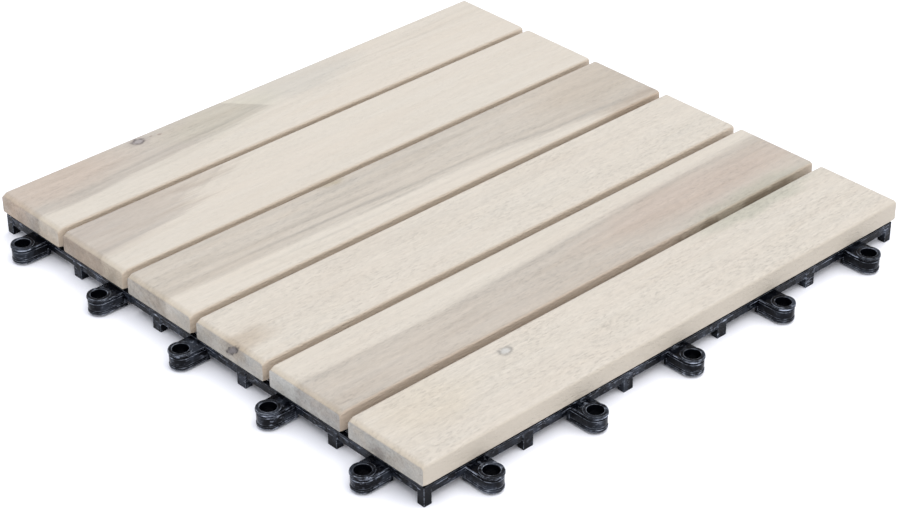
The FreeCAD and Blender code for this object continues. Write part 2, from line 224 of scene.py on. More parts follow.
# %% How near each point is to an arris, and where it settles
# The most that a long arris counts, and the shares of an end's ease that flanks and underside take
ARRIS_MOST = 0.7
FLANK_SHARE = 0.2
LOW_SHARE = 0.25


def near_arris(tree, given, at, half_wide, half_tall, inset):
    """1 at a drawn-in end, up to a lesser value on a long arris, and 0 on a flat face."""
    # The smaller round is the measure, so of a wide one only the outermost part counts
    shares = []
    for coordinate, half in ((at.outputs["X"], half_wide), (at.outputs["Z"], half_tall)):
        past = maths(tree, "SUBTRACT", maths(tree, "ABSOLUTE", coordinate),
                     maths(tree, "SUBTRACT", half, given["Under Round"]))
        shares.append(maths(tree, "DIVIDE", past, given["Under Round"], clamp=True))
    near = maths(tree, "MULTIPLY", *shares)
    return maths(tree, "MAXIMUM", maths(tree, "MULTIPLY", near, ARRIS_MOST, clamp=True),
                 maths(tree, "DIVIDE", inset, given["End Ease"], clamp=True))


def settled(tree, given, coordinate, half, lost, noise, side):
    """One coordinate, drawn in at the ends and then planed down a little unevenly."""
    lost = maths(tree, "DIVIDE", lost, half)
    scaled = maths(tree, "MULTIPLY", coordinate, maths(tree, "SUBTRACT", 1.0, lost))
    taken = maths(tree, "MULTIPLY", maths(tree, "MULTIPLY", noise, given["Waver"]), side)
    return maths(tree, "SUBTRACT", scaled, taken)


# %% Tree of a slat
def make_slat_tree():
    tree = bpy.data.node_groups.new("planed slat", "GeometryNodeTree")
    sockets(tree, "INPUT", (
        ("Length", "Float", 0.3), ("Width", "Float", 0.05), ("Thickness", "Float", 0.01),
        ("Top Round", "Float", 0.002), ("Under Round", "Float", 0.001),
        ("End Ease", "Float", 0.001), ("Far Share", "Float", 0.35),
        ("Place", "Vector", (0, 0, 0)), ("Waver", "Float", 0.0001), ("Seed", "Float", 0.0),
        ("Rings", "Int", 90), ("Material", "Material", None)))
    sockets(tree, "OUTPUT", (("Geometry", "Geometry", None),))
    given = add(tree, "NodeGroupInput").outputs
    half_wide = maths(tree, "MULTIPLY", given["Width"], 0.5)
    half_tall = maths(tree, "MULTIPLY", given["Thickness"], 0.5)
    half_long = maths(tree, "MULTIPLY", given["Length"], 0.5)
    spine = draw_spine(tree, given, half_long)
    section = draw_section(tree, given)
    bar = add(tree, "GeometryNodeCurveToMesh",
              {"Curve": spine.outputs[0], "Profile Curve": section.outputs[0], "Fill Caps": True})

    at = add(tree, "ShaderNodeSeparateXYZ", {0: add(tree, "GeometryNodeInputPosition").outputs[0]})
    inset = add(tree, "GeometryNodeInputNamedAttribute", {"Name": "drawn_in"}, data_type="FLOAT").outputs[0]
    arris = near_arris(tree, given, at, half_wide, half_tall, inset)
    bar = add(tree, "GeometryNodeStoreNamedAttribute",
              {"Geometry": bar.outputs[0], "Name": "arris", "Value": arris},
              data_type="FLOAT", domain="POINT")

    slow = add(tree, "ShaderNodeTexNoise", {"W": given["Seed"], "Scale": 16.0, "Detail": 1.0},
               noise_dimensions="4D")
    slow = add(tree, "ShaderNodeSeparateXYZ", {0: slow.outputs["Color"]})
    is_top = maths(tree, "GREATER_THAN", at.outputs["Z"], 0.0)
    tall_share = maths(tree, "MULTIPLY_ADD", is_top, 1.0 - LOW_SHARE, LOW_SHARE)
    new_x = settled(tree, given, at.outputs["X"], half_wide, maths(tree, "MULTIPLY", inset, FLANK_SHARE),
                    slow.outputs[0], maths(tree, "SIGN", at.outputs["X"]))
    new_z = settled(tree, given, at.outputs["Z"], half_tall, maths(tree, "MULTIPLY", inset, tall_share),
                    slow.outputs[1], is_top)
    moved = add(tree, "ShaderNodeCombineXYZ", {"X": new_x, "Y": at.outputs["Y"], "Z": new_z})
    total = add(tree, "ShaderNodeVectorMath", {0: moved.outputs[0], 1: given["Place"]}, operation="ADD")
    bar = add(tree, "GeometryNodeSetPosition", {"Geometry": bar.outputs[0], "Position": total.outputs[0]})
    bar = add(tree, "GeometryNodeRealizeInstances", {"Geometry": bar.outputs[0]})
    bar = add(tree, "GeometryNodeSetMaterial", {"Geometry": bar.outputs[0], "Material": given["Material"]})
    add(tree, "NodeGroupOutput", {"Geometry": bar.outputs[0]})
    return tree


slat_tree = make_slat_tree()
print("slat tree:", len(slat_tree.nodes), "nodes")

# %% [markdown]
# A tree only works while its modifier is on an object. So each piece starts as an empty mesh, or the
# mesh that the tree adds to. The inputs are set by their sockets' identifiers, and the evaluated
# result is copied into a plain mesh. The modifier is gone before the piece joins the frame.

# %% Turn a tree into a plain piece
def link_piece(name, mesh):
    piece = bpy.data.objects.new(name, mesh)
    bpy.context.scene.collection.objects.link(piece)
    return piece


def bake_modifiers(piece):
    """Turn what the modifiers show into the piece's own mesh, and take them off."""
    mesh = bpy.data.meshes.new_from_object(piece.evaluated_get(bpy.context.evaluated_depsgraph_get()))
    piece.modifiers.clear()
    piece.data = mesh
    mesh.name = piece.name


def grow(name, tree, values, mesh=None, smooth_angle=35.0):
    """A piece made by a tree from named values, with edges sharper than an angle kept sharp."""
    piece = link_piece(name, mesh or bpy.data.meshes.new(name))
    modifier = piece.modifiers.new("grow", "NODES")
    modifier.node_group = tree
    for item in tree.interface.items_tree:
        if item.in_out == "INPUT" and item.name in values:
            modifier[item.identifier] = values[item.name]
    bpy.context.view_layer.update()
    bake_modifiers(piece)
    piece.data.shade_smooth()
    piece.data.set_sharp_from_angle(angle=math.radians(smooth_angle))
    return piece


def flatten_faces(piece):
    """Let each large face keep its own normal, so that only the small rounded ones turn the light."""
    modifier = piece.modifiers.new("flatten", "WEIGHTED_NORMAL")
    modifier.mode = "FACE_AREA"
    modifier.keep_sharp = True
    bake_modifiers(piece)


def describe(piece):
    low = [round(min(v.co[i] for v in piece.data.vertices) / MM, 2) for i in range(3)]
    high = [round(max(v.co[i] for v in piece.data.vertices) / MM, 2) for i in range(3)]
    faces = sum(len(p.vertices) - 2 for p in piece.data.polygons)
    print(piece.name, low, high, faces, "triangles")


# %% [markdown]
# ## The timber's figure
# The wood is pale sapwood, with pinkish grey heartwood running in from one side of some slats, under
# a thin wash of lime. A flat picture would break at the arrises, so the figure is worked out in three
# dimensions and each slat gets its own place in the log. The first function lays noise that is
# stretched along the grain. The second finds the heartwood: its edge follows a curve along the slat,
# bent a little by slow noise and feathered by fine streaks.

# %% Heartwood
def noise(tree, moved, stretch, detail=3.0, rough=0.55, shift=0.0):
    """Noise that changes as fast along X, Y and Z as the three numbers say, per metre."""
    grid = add(tree, "ShaderNodeVectorMath", {0: moved, 1: stretch, 2: (shift, shift * 0.7, shift * 1.3)},
               operation="MULTIPLY_ADD")
    return cloud(tree, grid.outputs[0], 1.0, detail, rough).outputs["Fac"]


def centred(tree, value, amount):
    return maths(tree, "MULTIPLY", maths(tree, "SUBTRACT", value, 0.5), amount)


def find_heartwood(tree, given, x, moved):
    """How deep a point lies behind the heartwood's edge, the heartwood itself and its darker brim."""
    bend = maths(tree, "ADD", centred(tree, noise(tree, moved, (40, 7, 40), 2.0), 0.005),
                 centred(tree, noise(tree, moved, (220, 22, 220), 2.0, shift=7.0), 0.0022))
    feather = centred(tree, noise(tree, moved, (430, 9, 430), 3.0, shift=13.0), given["Feather"])
    inside = maths(tree, "MULTIPLY", maths(tree, "SUBTRACT", given["Edge"], x), given["Side"])
    inside = maths(tree, "ADD", inside, bend)
    past_edge = maths(tree, "DIVIDE", maths(tree, "ADD", inside, feather), given["Edge Blur"])
    past_tip = maths(tree, "ADD", maths(tree, "SUBTRACT", x, given["Tip"]), bend)
    past_tip = maths(tree, "DIVIDE", past_tip, given["Tip Blur"])
    heart = remap(tree, maths(tree, "MINIMUM", past_edge, past_tip), -0.5, 0.5, kind="SMOOTHSTEP")
    patch = remap(tree, noise(tree, moved, (30, 5, 30), 3.0, shift=3.0), 0.32, 0.62, 0.72, 1.0)
    heart = maths(tree, "MULTIPLY", maths(tree, "MULTIPLY", heart, patch), given["Heart"])
    brim = maths(tree, "ABSOLUTE", maths(tree, "SUBTRACT", past_edge, 0.25))
    brim = maths(tree, "SUBTRACT", 1.0, brim, clamp=True)
    return inside, heart, brim


# %% [markdown]
# Growth layers lie round a pith that follows the heartwood's edge, so they show as long curves on
# the face and as arcs on the sawn end. Each one darkens slowly and ends sharply, and a share of a
# soft band is mixed in. One number per layer makes good and lean years differ.

# %% Growth layers
def draw_layers(tree, given, z, inside, moved):
    out_x = maths(tree, "SUBTRACT", given["Pith Away"], inside)
    out_z = maths(tree, "SUBTRACT", z, given["Pith Z"])
    away = maths(tree, "SQRT", maths(tree, "ADD", maths(tree, "MULTIPLY", out_x, out_x),
                                     maths(tree, "MULTIPLY", out_z, out_z)))
    away = maths(tree, "ADD", away, centred(tree, noise(tree, moved, (30, 4, 30), 2.0, shift=5.0), 0.010))
    turns = maths(tree, "DIVIDE", away, given["Layer"])
    part = maths(tree, "FRACT", turns)
    sharp = remap(tree, maths(tree, "POWER", part, 3.0), 0.05, 0.75)
    sharp = maths(tree, "MULTIPLY", sharp, remap(tree, part, 1.0, 0.93))
    soft = maths(tree, "ABSOLUTE", maths(tree, "SUBTRACT", part, 0.7))
    soft = remap(tree, soft, 0.30, 0.04, kind="SMOOTHSTEP")
    late = add(tree, "ShaderNodeMix", {"Factor": given["Layer Softness"], "A": sharp, "B": soft}).outputs[0]
    year = add(tree, "ShaderNodeTexNoise", {"W": turns, "Scale": 1.3, "Detail": 0.0}, noise_dimensions="1D")
    late = maths(tree, "MULTIPLY", late, remap(tree, year.outputs["Fac"], 0.38, 0.62, 0.45, 1.0))
    near = maths(tree, "SUBTRACT", maths(tree, "DIVIDE", inside, given["Layer Reach"]), 0.25)
    near = maths(tree, "SUBTRACT", 1.0, maths(tree, "ABSOLUTE", near), clamp=True)
    broken = remap(tree, noise(tree, moved, (50, 9, 50), 2.0, shift=9.0), 0.36, 0.58, 0.25, 1.0)
    layers = maths(tree, "MULTIPLY", late, maths(tree, "MULTIPLY", near, broken))
    return maths(tree, "MULTIPLY", layers, given["Layer Depth"])


# %% [markdown]
# Vessels are short dark dashes along the grain, and fibres and streaks are finer and broader noise
# that is stretched the same way. They are kept apart, because the relief of the surface needs them
# one by one.

# %% Streaks, fibres and vessels
def draw_grain(tree, given, moved):
    broad = remap(tree, noise(tree, moved, (130, 3.5, 130), 3.0, shift=11.0), 0.3, 0.7, -1.0, 1.0)
    narrow = remap(tree, noise(tree, moved, (520, 16, 520), 3.0, 0.6, shift=17.0), 0.3, 0.7, -1.0, 1.0)
    fibre = remap(tree, noise(tree, moved, (1150, 230, 1150), 2.0, 0.6, shift=23.0), 0.3, 0.7, -1.0, 1.0)
    streak = maths(tree, "MULTIPLY", broad, 0.030)
    streak = maths(tree, "ADD", streak, maths(tree, "MULTIPLY", narrow, 0.035))
    dash = remap(tree, noise(tree, moved, (1000, 320, 1000), 2.0, 0.5, shift=31.0), 0.50, 0.70)
    crowd = remap(tree, noise(tree, moved, (70, 25, 70), 2.0, shift=37.0), 0.35, 0.62, 0.25, 1.0)
    vessels = maths(tree, "MULTIPLY", maths(tree, "MULTIPLY", dash, crowd), given["Flecks"])
    fleck = maths(tree, "MULTIPLY", maths(tree, "MULTIPLY", fibre, 0.068), given["Flecks"])
    figure = maths(tree, "ADD", streak, fleck)
    figure = maths(tree, "SUBTRACT", figure, maths(tree, "MULTIPLY", vessels, 0.15))
    return narrow, fibre, vessels, figure


# %% [markdown]
# Limewash lies on the faces and has been rubbed off the arrises. Sawn ends drink more of it and show
# their pores, in patches of grey and tan. The upright flanks keep a brownish bloom. Each finish is
# laid over the one before with a mask, as a painter would do it.

# %% Limewash, sawn ends and flanks
LIMEWASH = (0.546, 0.528, 0.492, 1)
BARE_WOOD = (0.425, 0.360, 0.270, 1)
SAWN_GREY = (1.02, 1.10, 1.19, 1)
SAWN_TAN = (0.95, 0.89, 0.81, 1)


def lay_limewash(tree, given, wood, sawn, moved):
    arris = add(tree, "ShaderNodeAttribute", attribute_name="arris").outputs["Fac"]
    arris = maths(tree, "MULTIPLY", arris, maths(tree, "SUBTRACT", 1.0, sawn))
    # A thin darker line where the end's slope meets the sawn end: painted shade in that crease
    crease_shade = remap(tree, arris, 0.72, 0.95, 1.0, 0.86)
    worn = maths(tree, "MULTIPLY", maths(tree, "MULTIPLY", arris, 1.6, clamp=True), given["Arris Wear"])
    film = remap(tree, noise(tree, moved, (260, 20, 260), 3.0, 0.6, shift=47.0), 0.25, 0.75, 0.6, 1.15)
    film = maths(tree, "MULTIPLY", film, given["Lime"])
    film = maths(tree, "MULTIPLY", film, maths(tree, "SUBTRACT", 1.0, worn))
    film = maths(tree, "MULTIPLY", film, maths(tree, "MULTIPLY_ADD", sawn, -0.3, 1.0), clamp=True)
    wood = blend(tree, film, wood, LIMEWASH)
    wood = blend(tree, maths(tree, "MULTIPLY", worn, 0.6), wood, BARE_WOOD)
    return blend(tree, 1.0, wood, crease_shade, "MULTIPLY")


def age_ends(tree, given, wood, sawn, moved):
    """The wood with its sawn ends finished, and the pores that they show."""
    pore = remap(tree, noise(tree, moved, (1300, 500, 1300), 3.0, 0.6, shift=53.0), 0.40, 0.66)
    blotch = remap(tree, noise(tree, moved, (95, 300, 120), 3.0, 0.6, shift=59.0), 0.32, 0.68)
    cloudy = remap(tree, noise(tree, moved, (150, 150, 190), 3.0, 0.6, shift=61.0), 0.3, 0.7, 1.10, 0.86)
    end_tone = maths(tree, "MULTIPLY", given["End Tone"], cloudy)
    end_tone = maths(tree, "MULTIPLY", end_tone, maths(tree, "MULTIPLY_ADD", pore, -0.16, 1.0))
    end_wood = blend(tree, 1.0, wood, end_tone, "MULTIPLY")
    blotch = maths(tree, "SUBTRACT", blotch, 0.5)
    tan = maths(tree, "MULTIPLY_ADD", blotch, 0.5, given["End Tan"], clamp=True)
    end_wood = blend(tree, 1.0, end_wood, blend(tree, tan, SAWN_GREY, SAWN_TAN), "MULTIPLY")
    return blend(tree, sawn, wood, end_wood), pore


# %% Group: limed timber
WARM_WOOD = (0.465, 0.384, 0.310, 1)


def make_timber_group():
    tree = bpy.data.node_groups.new("limed timber", "ShaderNodeTree")
    sockets(tree, "INPUT", (
        ("Shift", "Vector", (0, 0, 0)),
        ("Sapwood", "Color", (0.66, 0.6, 0.52, 1)), ("Heartwood", "Color", (0.5, 0.42, 0.36, 1)),
        ("Heart", "Float", 1.0), ("Edge", "Float", 0.0), ("Side", "Float", 1.0),
        ("Edge Blur", "Float", 0.004), ("Feather", "Float", 0.006),
        ("Tip", "Float", -1.0), ("Tip Blur", "Float", 0.003),
        ("Pith Away", "Float", 0.03), ("Pith Z", "Float", -0.03),
        ("Layer", "Float", 0.0035), ("Layer Depth", "Float", 0.25), ("Layer Reach", "Float", 0.02),
        ("Layer Softness", "Float", 0.3), ("Flecks", "Float", 1.0),
        ("Lime", "Float", 0.3), ("Arris Wear", "Float", 0.6), ("Flank", "Color", (0.5, 0.4, 0.3, 1)),
        ("End Tan", "Float", 0.5), ("End Tone", "Float", 1.0)))
    sockets(tree, "OUTPUT", (
        ("Color", "Color", None), ("Roughness", "Float", None), ("Height", "Float", None)))
    given = add(tree, "NodeGroupInput").outputs
    here = add(tree, "ShaderNodeTexCoord").outputs["Object"]
    at = add(tree, "ShaderNodeSeparateXYZ", {0: here})
    moved = add(tree, "ShaderNodeVectorMath", {0: here, 1: given["Shift"]}, operation="ADD").outputs[0]
    inside, heart, brim = find_heartwood(tree, given, at.outputs["X"], moved)
    layers = draw_layers(tree, given, at.outputs["Z"], inside, moved)
    narrow, fibre, vessels, figure = draw_grain(tree, given, moved)

    # Which way the surface faces: sawn end, upright flank or face
    normal = add(tree, "ShaderNodeNewGeometry").outputs["True Normal"]
    facing = add(tree, "ShaderNodeSeparateXYZ", {0: normal})
    sawn = remap(tree, maths(tree, "ABSOLUTE", facing.outputs["Y"]), 0.5, 0.9)
    upright = remap(tree, maths(tree, "ABSOLUTE", facing.outputs["X"]), 0.6, 0.95)

    wood = blend(tree, heart, given["Sapwood"], given["Heartwood"])
    figure = maths(tree, "MULTIPLY", figure, maths(tree, "MULTIPLY_ADD", heart, 1.2, 1.0))
    tone = maths(tree, "SUBTRACT", maths(tree, "ADD", 1.0, figure),
                 maths(tree, "MULTIPLY", layers, maths(tree, "MULTIPLY_ADD", heart, 0.5, 0.5)))
    tone = maths(tree, "SUBTRACT", tone, maths(tree, "MULTIPLY", brim, maths(tree, "MULTIPLY", heart, 0.10)))
    wood = blend(tree, 1.0, wood, tone, "MULTIPLY")
    warm = remap(tree, noise(tree, moved, (55, 9, 55), 3.0, shift=41.0), 0.36, 0.64)
    wood = blend(tree, maths(tree, "MULTIPLY", warm, 0.22), wood, WARM_WOOD)
    wood = lay_limewash(tree, given, wood, sawn, moved)
    wood, pore = age_ends(tree, given, wood, sawn, moved)
    wood = blend(tree, maths(tree, "MULTIPLY", upright, 0.75), wood, given["Flank"])

    rough = maths(tree, "MULTIPLY_ADD", fibre, 0.05, 0.62)
    rough = maths(tree, "ADD", rough, maths(tree, "MULTIPLY", sawn, 0.15))
    height = maths(tree, "ADD", maths(tree, "MULTIPLY", fibre, 0.35), maths(tree, "MULTIPLY", narrow, 0.30))
    height = maths(tree, "SUBTRACT", height, maths(tree, "MULTIPLY", vessels, 0.8))
    open_pores = maths(tree, "MULTIPLY", pore, sawn)
    height = maths(tree, "SUBTRACT", height, maths(tree, "MULTIPLY", open_pores, 0.8))
    add(tree, "NodeGroupOutput", {"Color": wood, "Roughness": rough, "Height": height})
    return tree


timber_group = make_timber_group()
print("timber group:", len(timber_group.nodes), "nodes")

# %% [markdown]
# A knot is a branch cut across. It stains the wood round it, a dark and broken ring of bark marks
# its edge, and its heart is a little lighter than the bark. It is a second group, placed after the
# timber in the material of each slat that shows one, and measured from the knot's own centre. A third
# group lays a soft patch of colour over the timber, for the places where rain or sun has stained it,
# and for one strip of painted shade down a flank in a gap.

# %% Groups: knot and patch
KNOT_SWAY = 420.0
PATCH_SWAY = 60.0


def vector(tree, operation, first, second):
    return add(tree, "ShaderNodeVectorMath", {0: first, 1: second}, operation=operation).outputs[0]


def measured(tree, given, sway):
    """A point's distance from the group's centre, in its own stretched measure, with a ragged edge."""
    here = add(tree, "ShaderNodeTexCoord").outputs["Object"]
    ragged = vector(tree, "SUBTRACT", cloud(tree, here, sway, 3.0).outputs["Color"], (0.5, 0.5, 0.5))
    ragged = add(tree, "ShaderNodeVectorMath", {0: ragged, "Scale": given["Ragged"]}, operation="SCALE")
    offset = vector(tree, "SUBTRACT", here, given["Centre"])
    rise = add(tree, "ShaderNodeSeparateXYZ", {0: offset}).outputs["Z"]
    lean = add(tree, "ShaderNodeCombineXYZ", {"X": maths(tree, "MULTIPLY", rise, given["Lean"])})
    offset = vector(tree, "SUBTRACT", offset, lean.outputs[0])
    offset = vector(tree, "ADD", offset, ragged.outputs[0])
    offset = vector(tree, "DIVIDE", offset, given["Size"])
    return add(tree, "ShaderNodeVectorMath", {0: offset}, operation="LENGTH").outputs["Value"]


def make_knot_group():
    tree = bpy.data.node_groups.new("knot", "ShaderNodeTree")
    sockets(tree, "INPUT", (
        ("Color", "Color", (0.6, 0.5, 0.4, 1)),
        ("Centre", "Vector", (0, 0, 0)), ("Size", "Vector", (1, 1, 1)),
        ("Lean", "Float", 0.0), ("Ragged", "Float", 0.001), ("Broken", "Float", 0.35),
        ("Bark", "Color", (0.2, 0.15, 0.12, 1)), ("Core", "Color", (0.5, 0.45, 0.42, 1)),
        ("Stain", "Color", (0.5, 0.42, 0.36, 1)), ("Stain Reach", "Float", 4.0), ("Strength", "Float", 1.0)))
    sockets(tree, "OUTPUT", (("Color", "Color", None),))
    given = add(tree, "NodeGroupInput").outputs
    size = measured(tree, given, KNOT_SWAY)
    inside = remap(tree, size, 1.0, 0.7)
    ring = maths(tree, "ABSOLUTE", maths(tree, "SUBTRACT", size, 1.0))
    ring = maths(tree, "SUBTRACT", 1.0, maths(tree, "MULTIPLY", ring, 2.2), clamp=True)
    gaps = cloud(tree, add(tree, "ShaderNodeTexCoord").outputs["Object"], 520.0)
    ring = maths(tree, "MULTIPLY", ring, remap(tree, gaps.outputs["Fac"], 0.36, 0.56, given["Broken"], 1.0))
    stain = maths(tree, "SUBTRACT", 1.0, maths(tree, "DIVIDE", size, given["Stain Reach"]), clamp=True)
    stain = maths(tree, "MULTIPLY", maths(tree, "MULTIPLY", stain, stain), given["Strength"])
    out = blend(tree, stain, given["Color"], given["Stain"])
    out = blend(tree, maths(tree, "MULTIPLY", inside, given["Strength"]), out, given["Core"])
    out = blend(tree, maths(tree, "MULTIPLY", ring, given["Strength"]), out, given["Bark"])
    add(tree, "NodeGroupOutput", {"Color": out})
    return tree


def make_patch_group():
    tree = bpy.data.node_groups.new("stained patch", "ShaderNodeTree")
    sockets(tree, "INPUT", (
        ("Color", "Color", (0.6, 0.5, 0.4, 1)),
        ("Centre", "Vector", (0, 0, 0)), ("Size", "Vector", (1, 1, 1)),
        ("Lean", "Float", 0.0), ("Ragged", "Float", 0.01), ("Tint", "Color", (1, 0.9, 0.8, 1))))
    sockets(tree, "OUTPUT", (("Color", "Color", None),))
    given = add(tree, "NodeGroupInput").outputs
    cover = remap(tree, measured(tree, given, PATCH_SWAY), 1.0, 0.35, kind="SMOOTHSTEP")
    add(tree, "NodeGroupOutput", {"Color": blend(tree, cover, given["Color"], given["Tint"], "MULTIPLY")})
    return tree


knot_group = make_knot_group()
patch_group = make_patch_group()
print("knot group:", len(knot_group.nodes), "nodes, patch group:", len(patch_group.nodes), "nodes")

# %% [markdown]
# Each slat has a material of its own, because on the real tile no two were cut from the same board.
# A curve through a few points, in millimetres, says how the edge of the heartwood wanders along the
# slat (EDGES), and slat 1 has a second one where the heartwood ends in a tip (TIP). Where another
# value changes along a slat, a curve gives it in hundredths (CHANGES). That way slat 2's heartwood
# fades out behind a feathered edge, and slat 3's layers grow faint.

# %% Course of the heartwood
EDGES = {
    1: ((-150, -117), (-120, -116), (-95, -118.5), (-60, -121), (-20, -124.8), (0, -127), (150, -131)),
    2: ((-150, -67.5), (-125, -69.5), (-105, -72), (-92, -76.5), (-80, -83), (-65, -91), (-50, -98),
        (-35, -106), (150, -135)),
    3: ((-150, -20.5), (-100, -19), (-40, -17), (20, -15.5), (50, -13.5), (75, -10.5), (100, -7.8),
        (118, -6), (150, -3)),
    4: ((-150, 14), (0, 16), (150, 19)),
    5: ((-150, 68.5), (-110, 70), (-75, 70.5), (-35, 68), (5, 65.5), (60, 62.8), (140, 60.5)),
    6: ((-150, 140), (0, 134), (150, 126)),
}
TIP = ((-40, -165), (-22, -147.5), (-3, -127.2), (20, -100), (150, -50))
CHANGES = {
    2: {"Heart": ((-150, 102), (-125, 95), (-108, 80), (-90, 60), (-75, 42), (-60, 28), (-45, 12), (-30, 0),
                  (150, 0)),
        "Feather": ((-150, 0.6), (-125, 0.8), (-110, 1.6), (-95, 4.5), (-75, 7.5), (-50, 8), (150, 8))},
    3: {"Layer Depth": ((-150, 60), (-110, 80), (-50, 78), (-10, 58), (40, 42), (90, 34), (150, 30))},
}
print("heartwood curves:", len(EDGES), "edges,", sum(len(change) for change in CHANGES.values()), "changes")

# %% [markdown]
# The other values of a board are the same all along it, such as how wide its layers are, how deep
# they show, how far they reach from the heartwood's edge and how brown its sawn end is. Lengths are
# in metres.

# %% Boards
SAPWOOD = (0.448, 0.400, 0.336, 1)
GAP_FLANK = (0.530, 0.440, 0.345, 1)
OUTER_FLANK = (0.452, 0.400, 0.325, 1)

BOARDS = {
    1: {"Shift": (1.31, 0.42, 0.2), "Edge Blur": 0.0035, "Tip Blur": 0.002, "Pith Away": 0.035,
        "Layer": 0.0036, "Layer Depth": 0.40, "Layer Reach": 0.013, "Flecks": 0.6,
        "Heartwood": (0.318, 0.271, 0.226, 1), "End Tan": 0.75, "End Tone": 1.14},
    2: {"Shift": (2.77, 1.15, 0.4), "Edge Blur": 0.008, "Pith Away": 0.045,
        "Layer": 0.0045, "Layer Depth": 0.34, "Layer Reach": 0.016, "Flecks": 0.55,
        "Heartwood": (0.262, 0.212, 0.176, 1), "End Tan": 1.0, "End Tone": 0.98},
    3: {"Shift": (3.19, 2.51, 0.1), "Edge Blur": 0.0045, "Heart": 0.9, "Pith Away": 0.05, "Pith Z": -0.02,
        "Layer": 0.0042, "Layer Reach": 0.030, "Layer Softness": 0.8, "Flecks": 0.7,
        "Sapwood": (0.468, 0.418, 0.351, 1), "Heartwood": (0.303, 0.257, 0.207, 1),
        "End Tan": 0.45, "End Tone": 0.98},
    4: {"Shift": (4.83, 0.07, 0.7), "Heart": 0.0, "Pith Away": 0.03, "Pith Z": -0.09,
        "Layer": 0.0040, "Layer Depth": 0.20, "Layer Reach": 0.04, "Flecks": 1.35,
        "End Tan": 0.35, "End Tone": 0.86},
    5: {"Shift": (5.41, 3.33, 0.3), "Side": -1.0, "Edge Blur": 0.006, "Pith Away": 0.05,
        "Layer": 0.0042, "Layer Depth": 0.22, "Layer Reach": 0.02, "Flecks": 0.8,
        "Heartwood": (0.294, 0.246, 0.199, 1), "Flank": (0.520, 0.420, 0.330, 1),
        "End Tan": 0.05, "End Tone": 1.0},
    6: {"Shift": (6.05, 4.29, 0.9), "Heart": 0.0, "Pith Away": 0.03, "Pith Z": -0.10,
        "Layer": 0.0050, "Layer Depth": 0.12, "Layer Reach": 0.04, "Flecks": 1.6,
        "Flank": OUTER_FLANK, "End Tan": 0.25, "End Tone": 0.85},
}
print("boards:", len(BOARDS))

# %% [markdown]
# Three slats show a knot, and one of them two tiny ones beside it. Patches are multiplied over the
# timber: a tint of one changes nothing, and a lower one stains, except slat 5's last patch, which is
# painted shade down its flank in the gap to slat 6. Centres and sizes are in metres, in the tile's own
# frame, and a size is half of the knot or patch each way. Lean is how far a knot shifts along X for
# its rise.

# %% Knots and patches
KNOTS = {
    1: ({"Centre": (-0.1424, -0.0733, 0.0215), "Size": (0.0023, 0.0030, 0.0040), "Ragged": 0.0017,
         "Bark": (0.080, 0.066, 0.066, 1), "Core": (0.270, 0.245, 0.240, 1), "Stain Reach": 3.2,
         "Stain": (0.185, 0.155, 0.150, 1), "Strength": 0.9},
        {"Centre": (-0.1412, -0.0610, 0.0215), "Size": (0.0006, 0.0012, 0.0020), "Stain Reach": 2.0,
         "Core": (0.19, 0.155, 0.14, 1), "Strength": 0.7},
        {"Centre": (-0.1426, -0.0655, 0.0215), "Size": (0.0005, 0.0009, 0.0020), "Stain Reach": 2.0,
         "Core": (0.19, 0.155, 0.14, 1), "Strength": 0.6}),
    4: ({"Centre": (0.0262, -0.1495, 0.0172), "Size": (0.0023, 0.0045, 0.0027), "Lean": 0.95,
         "Ragged": 0.0032, "Bark": (0.038, 0.034, 0.034, 1), "Core": (0.165, 0.150, 0.147, 1),
         "Stain Reach": 1.8, "Stain": (0.30, 0.25, 0.22, 1), "Strength": 0.9},),
    6: ({"Centre": (0.1112, -0.0693, 0.0215), "Size": (0.0024, 0.0030, 0.0040), "Ragged": 0.0026,
         "Bark": (0.235, 0.220, 0.200, 1), "Core": (0.425, 0.415, 0.395, 1), "Stain Reach": 2.2,
         "Stain": (0.40, 0.36, 0.31, 1), "Strength": 0.9},),
}

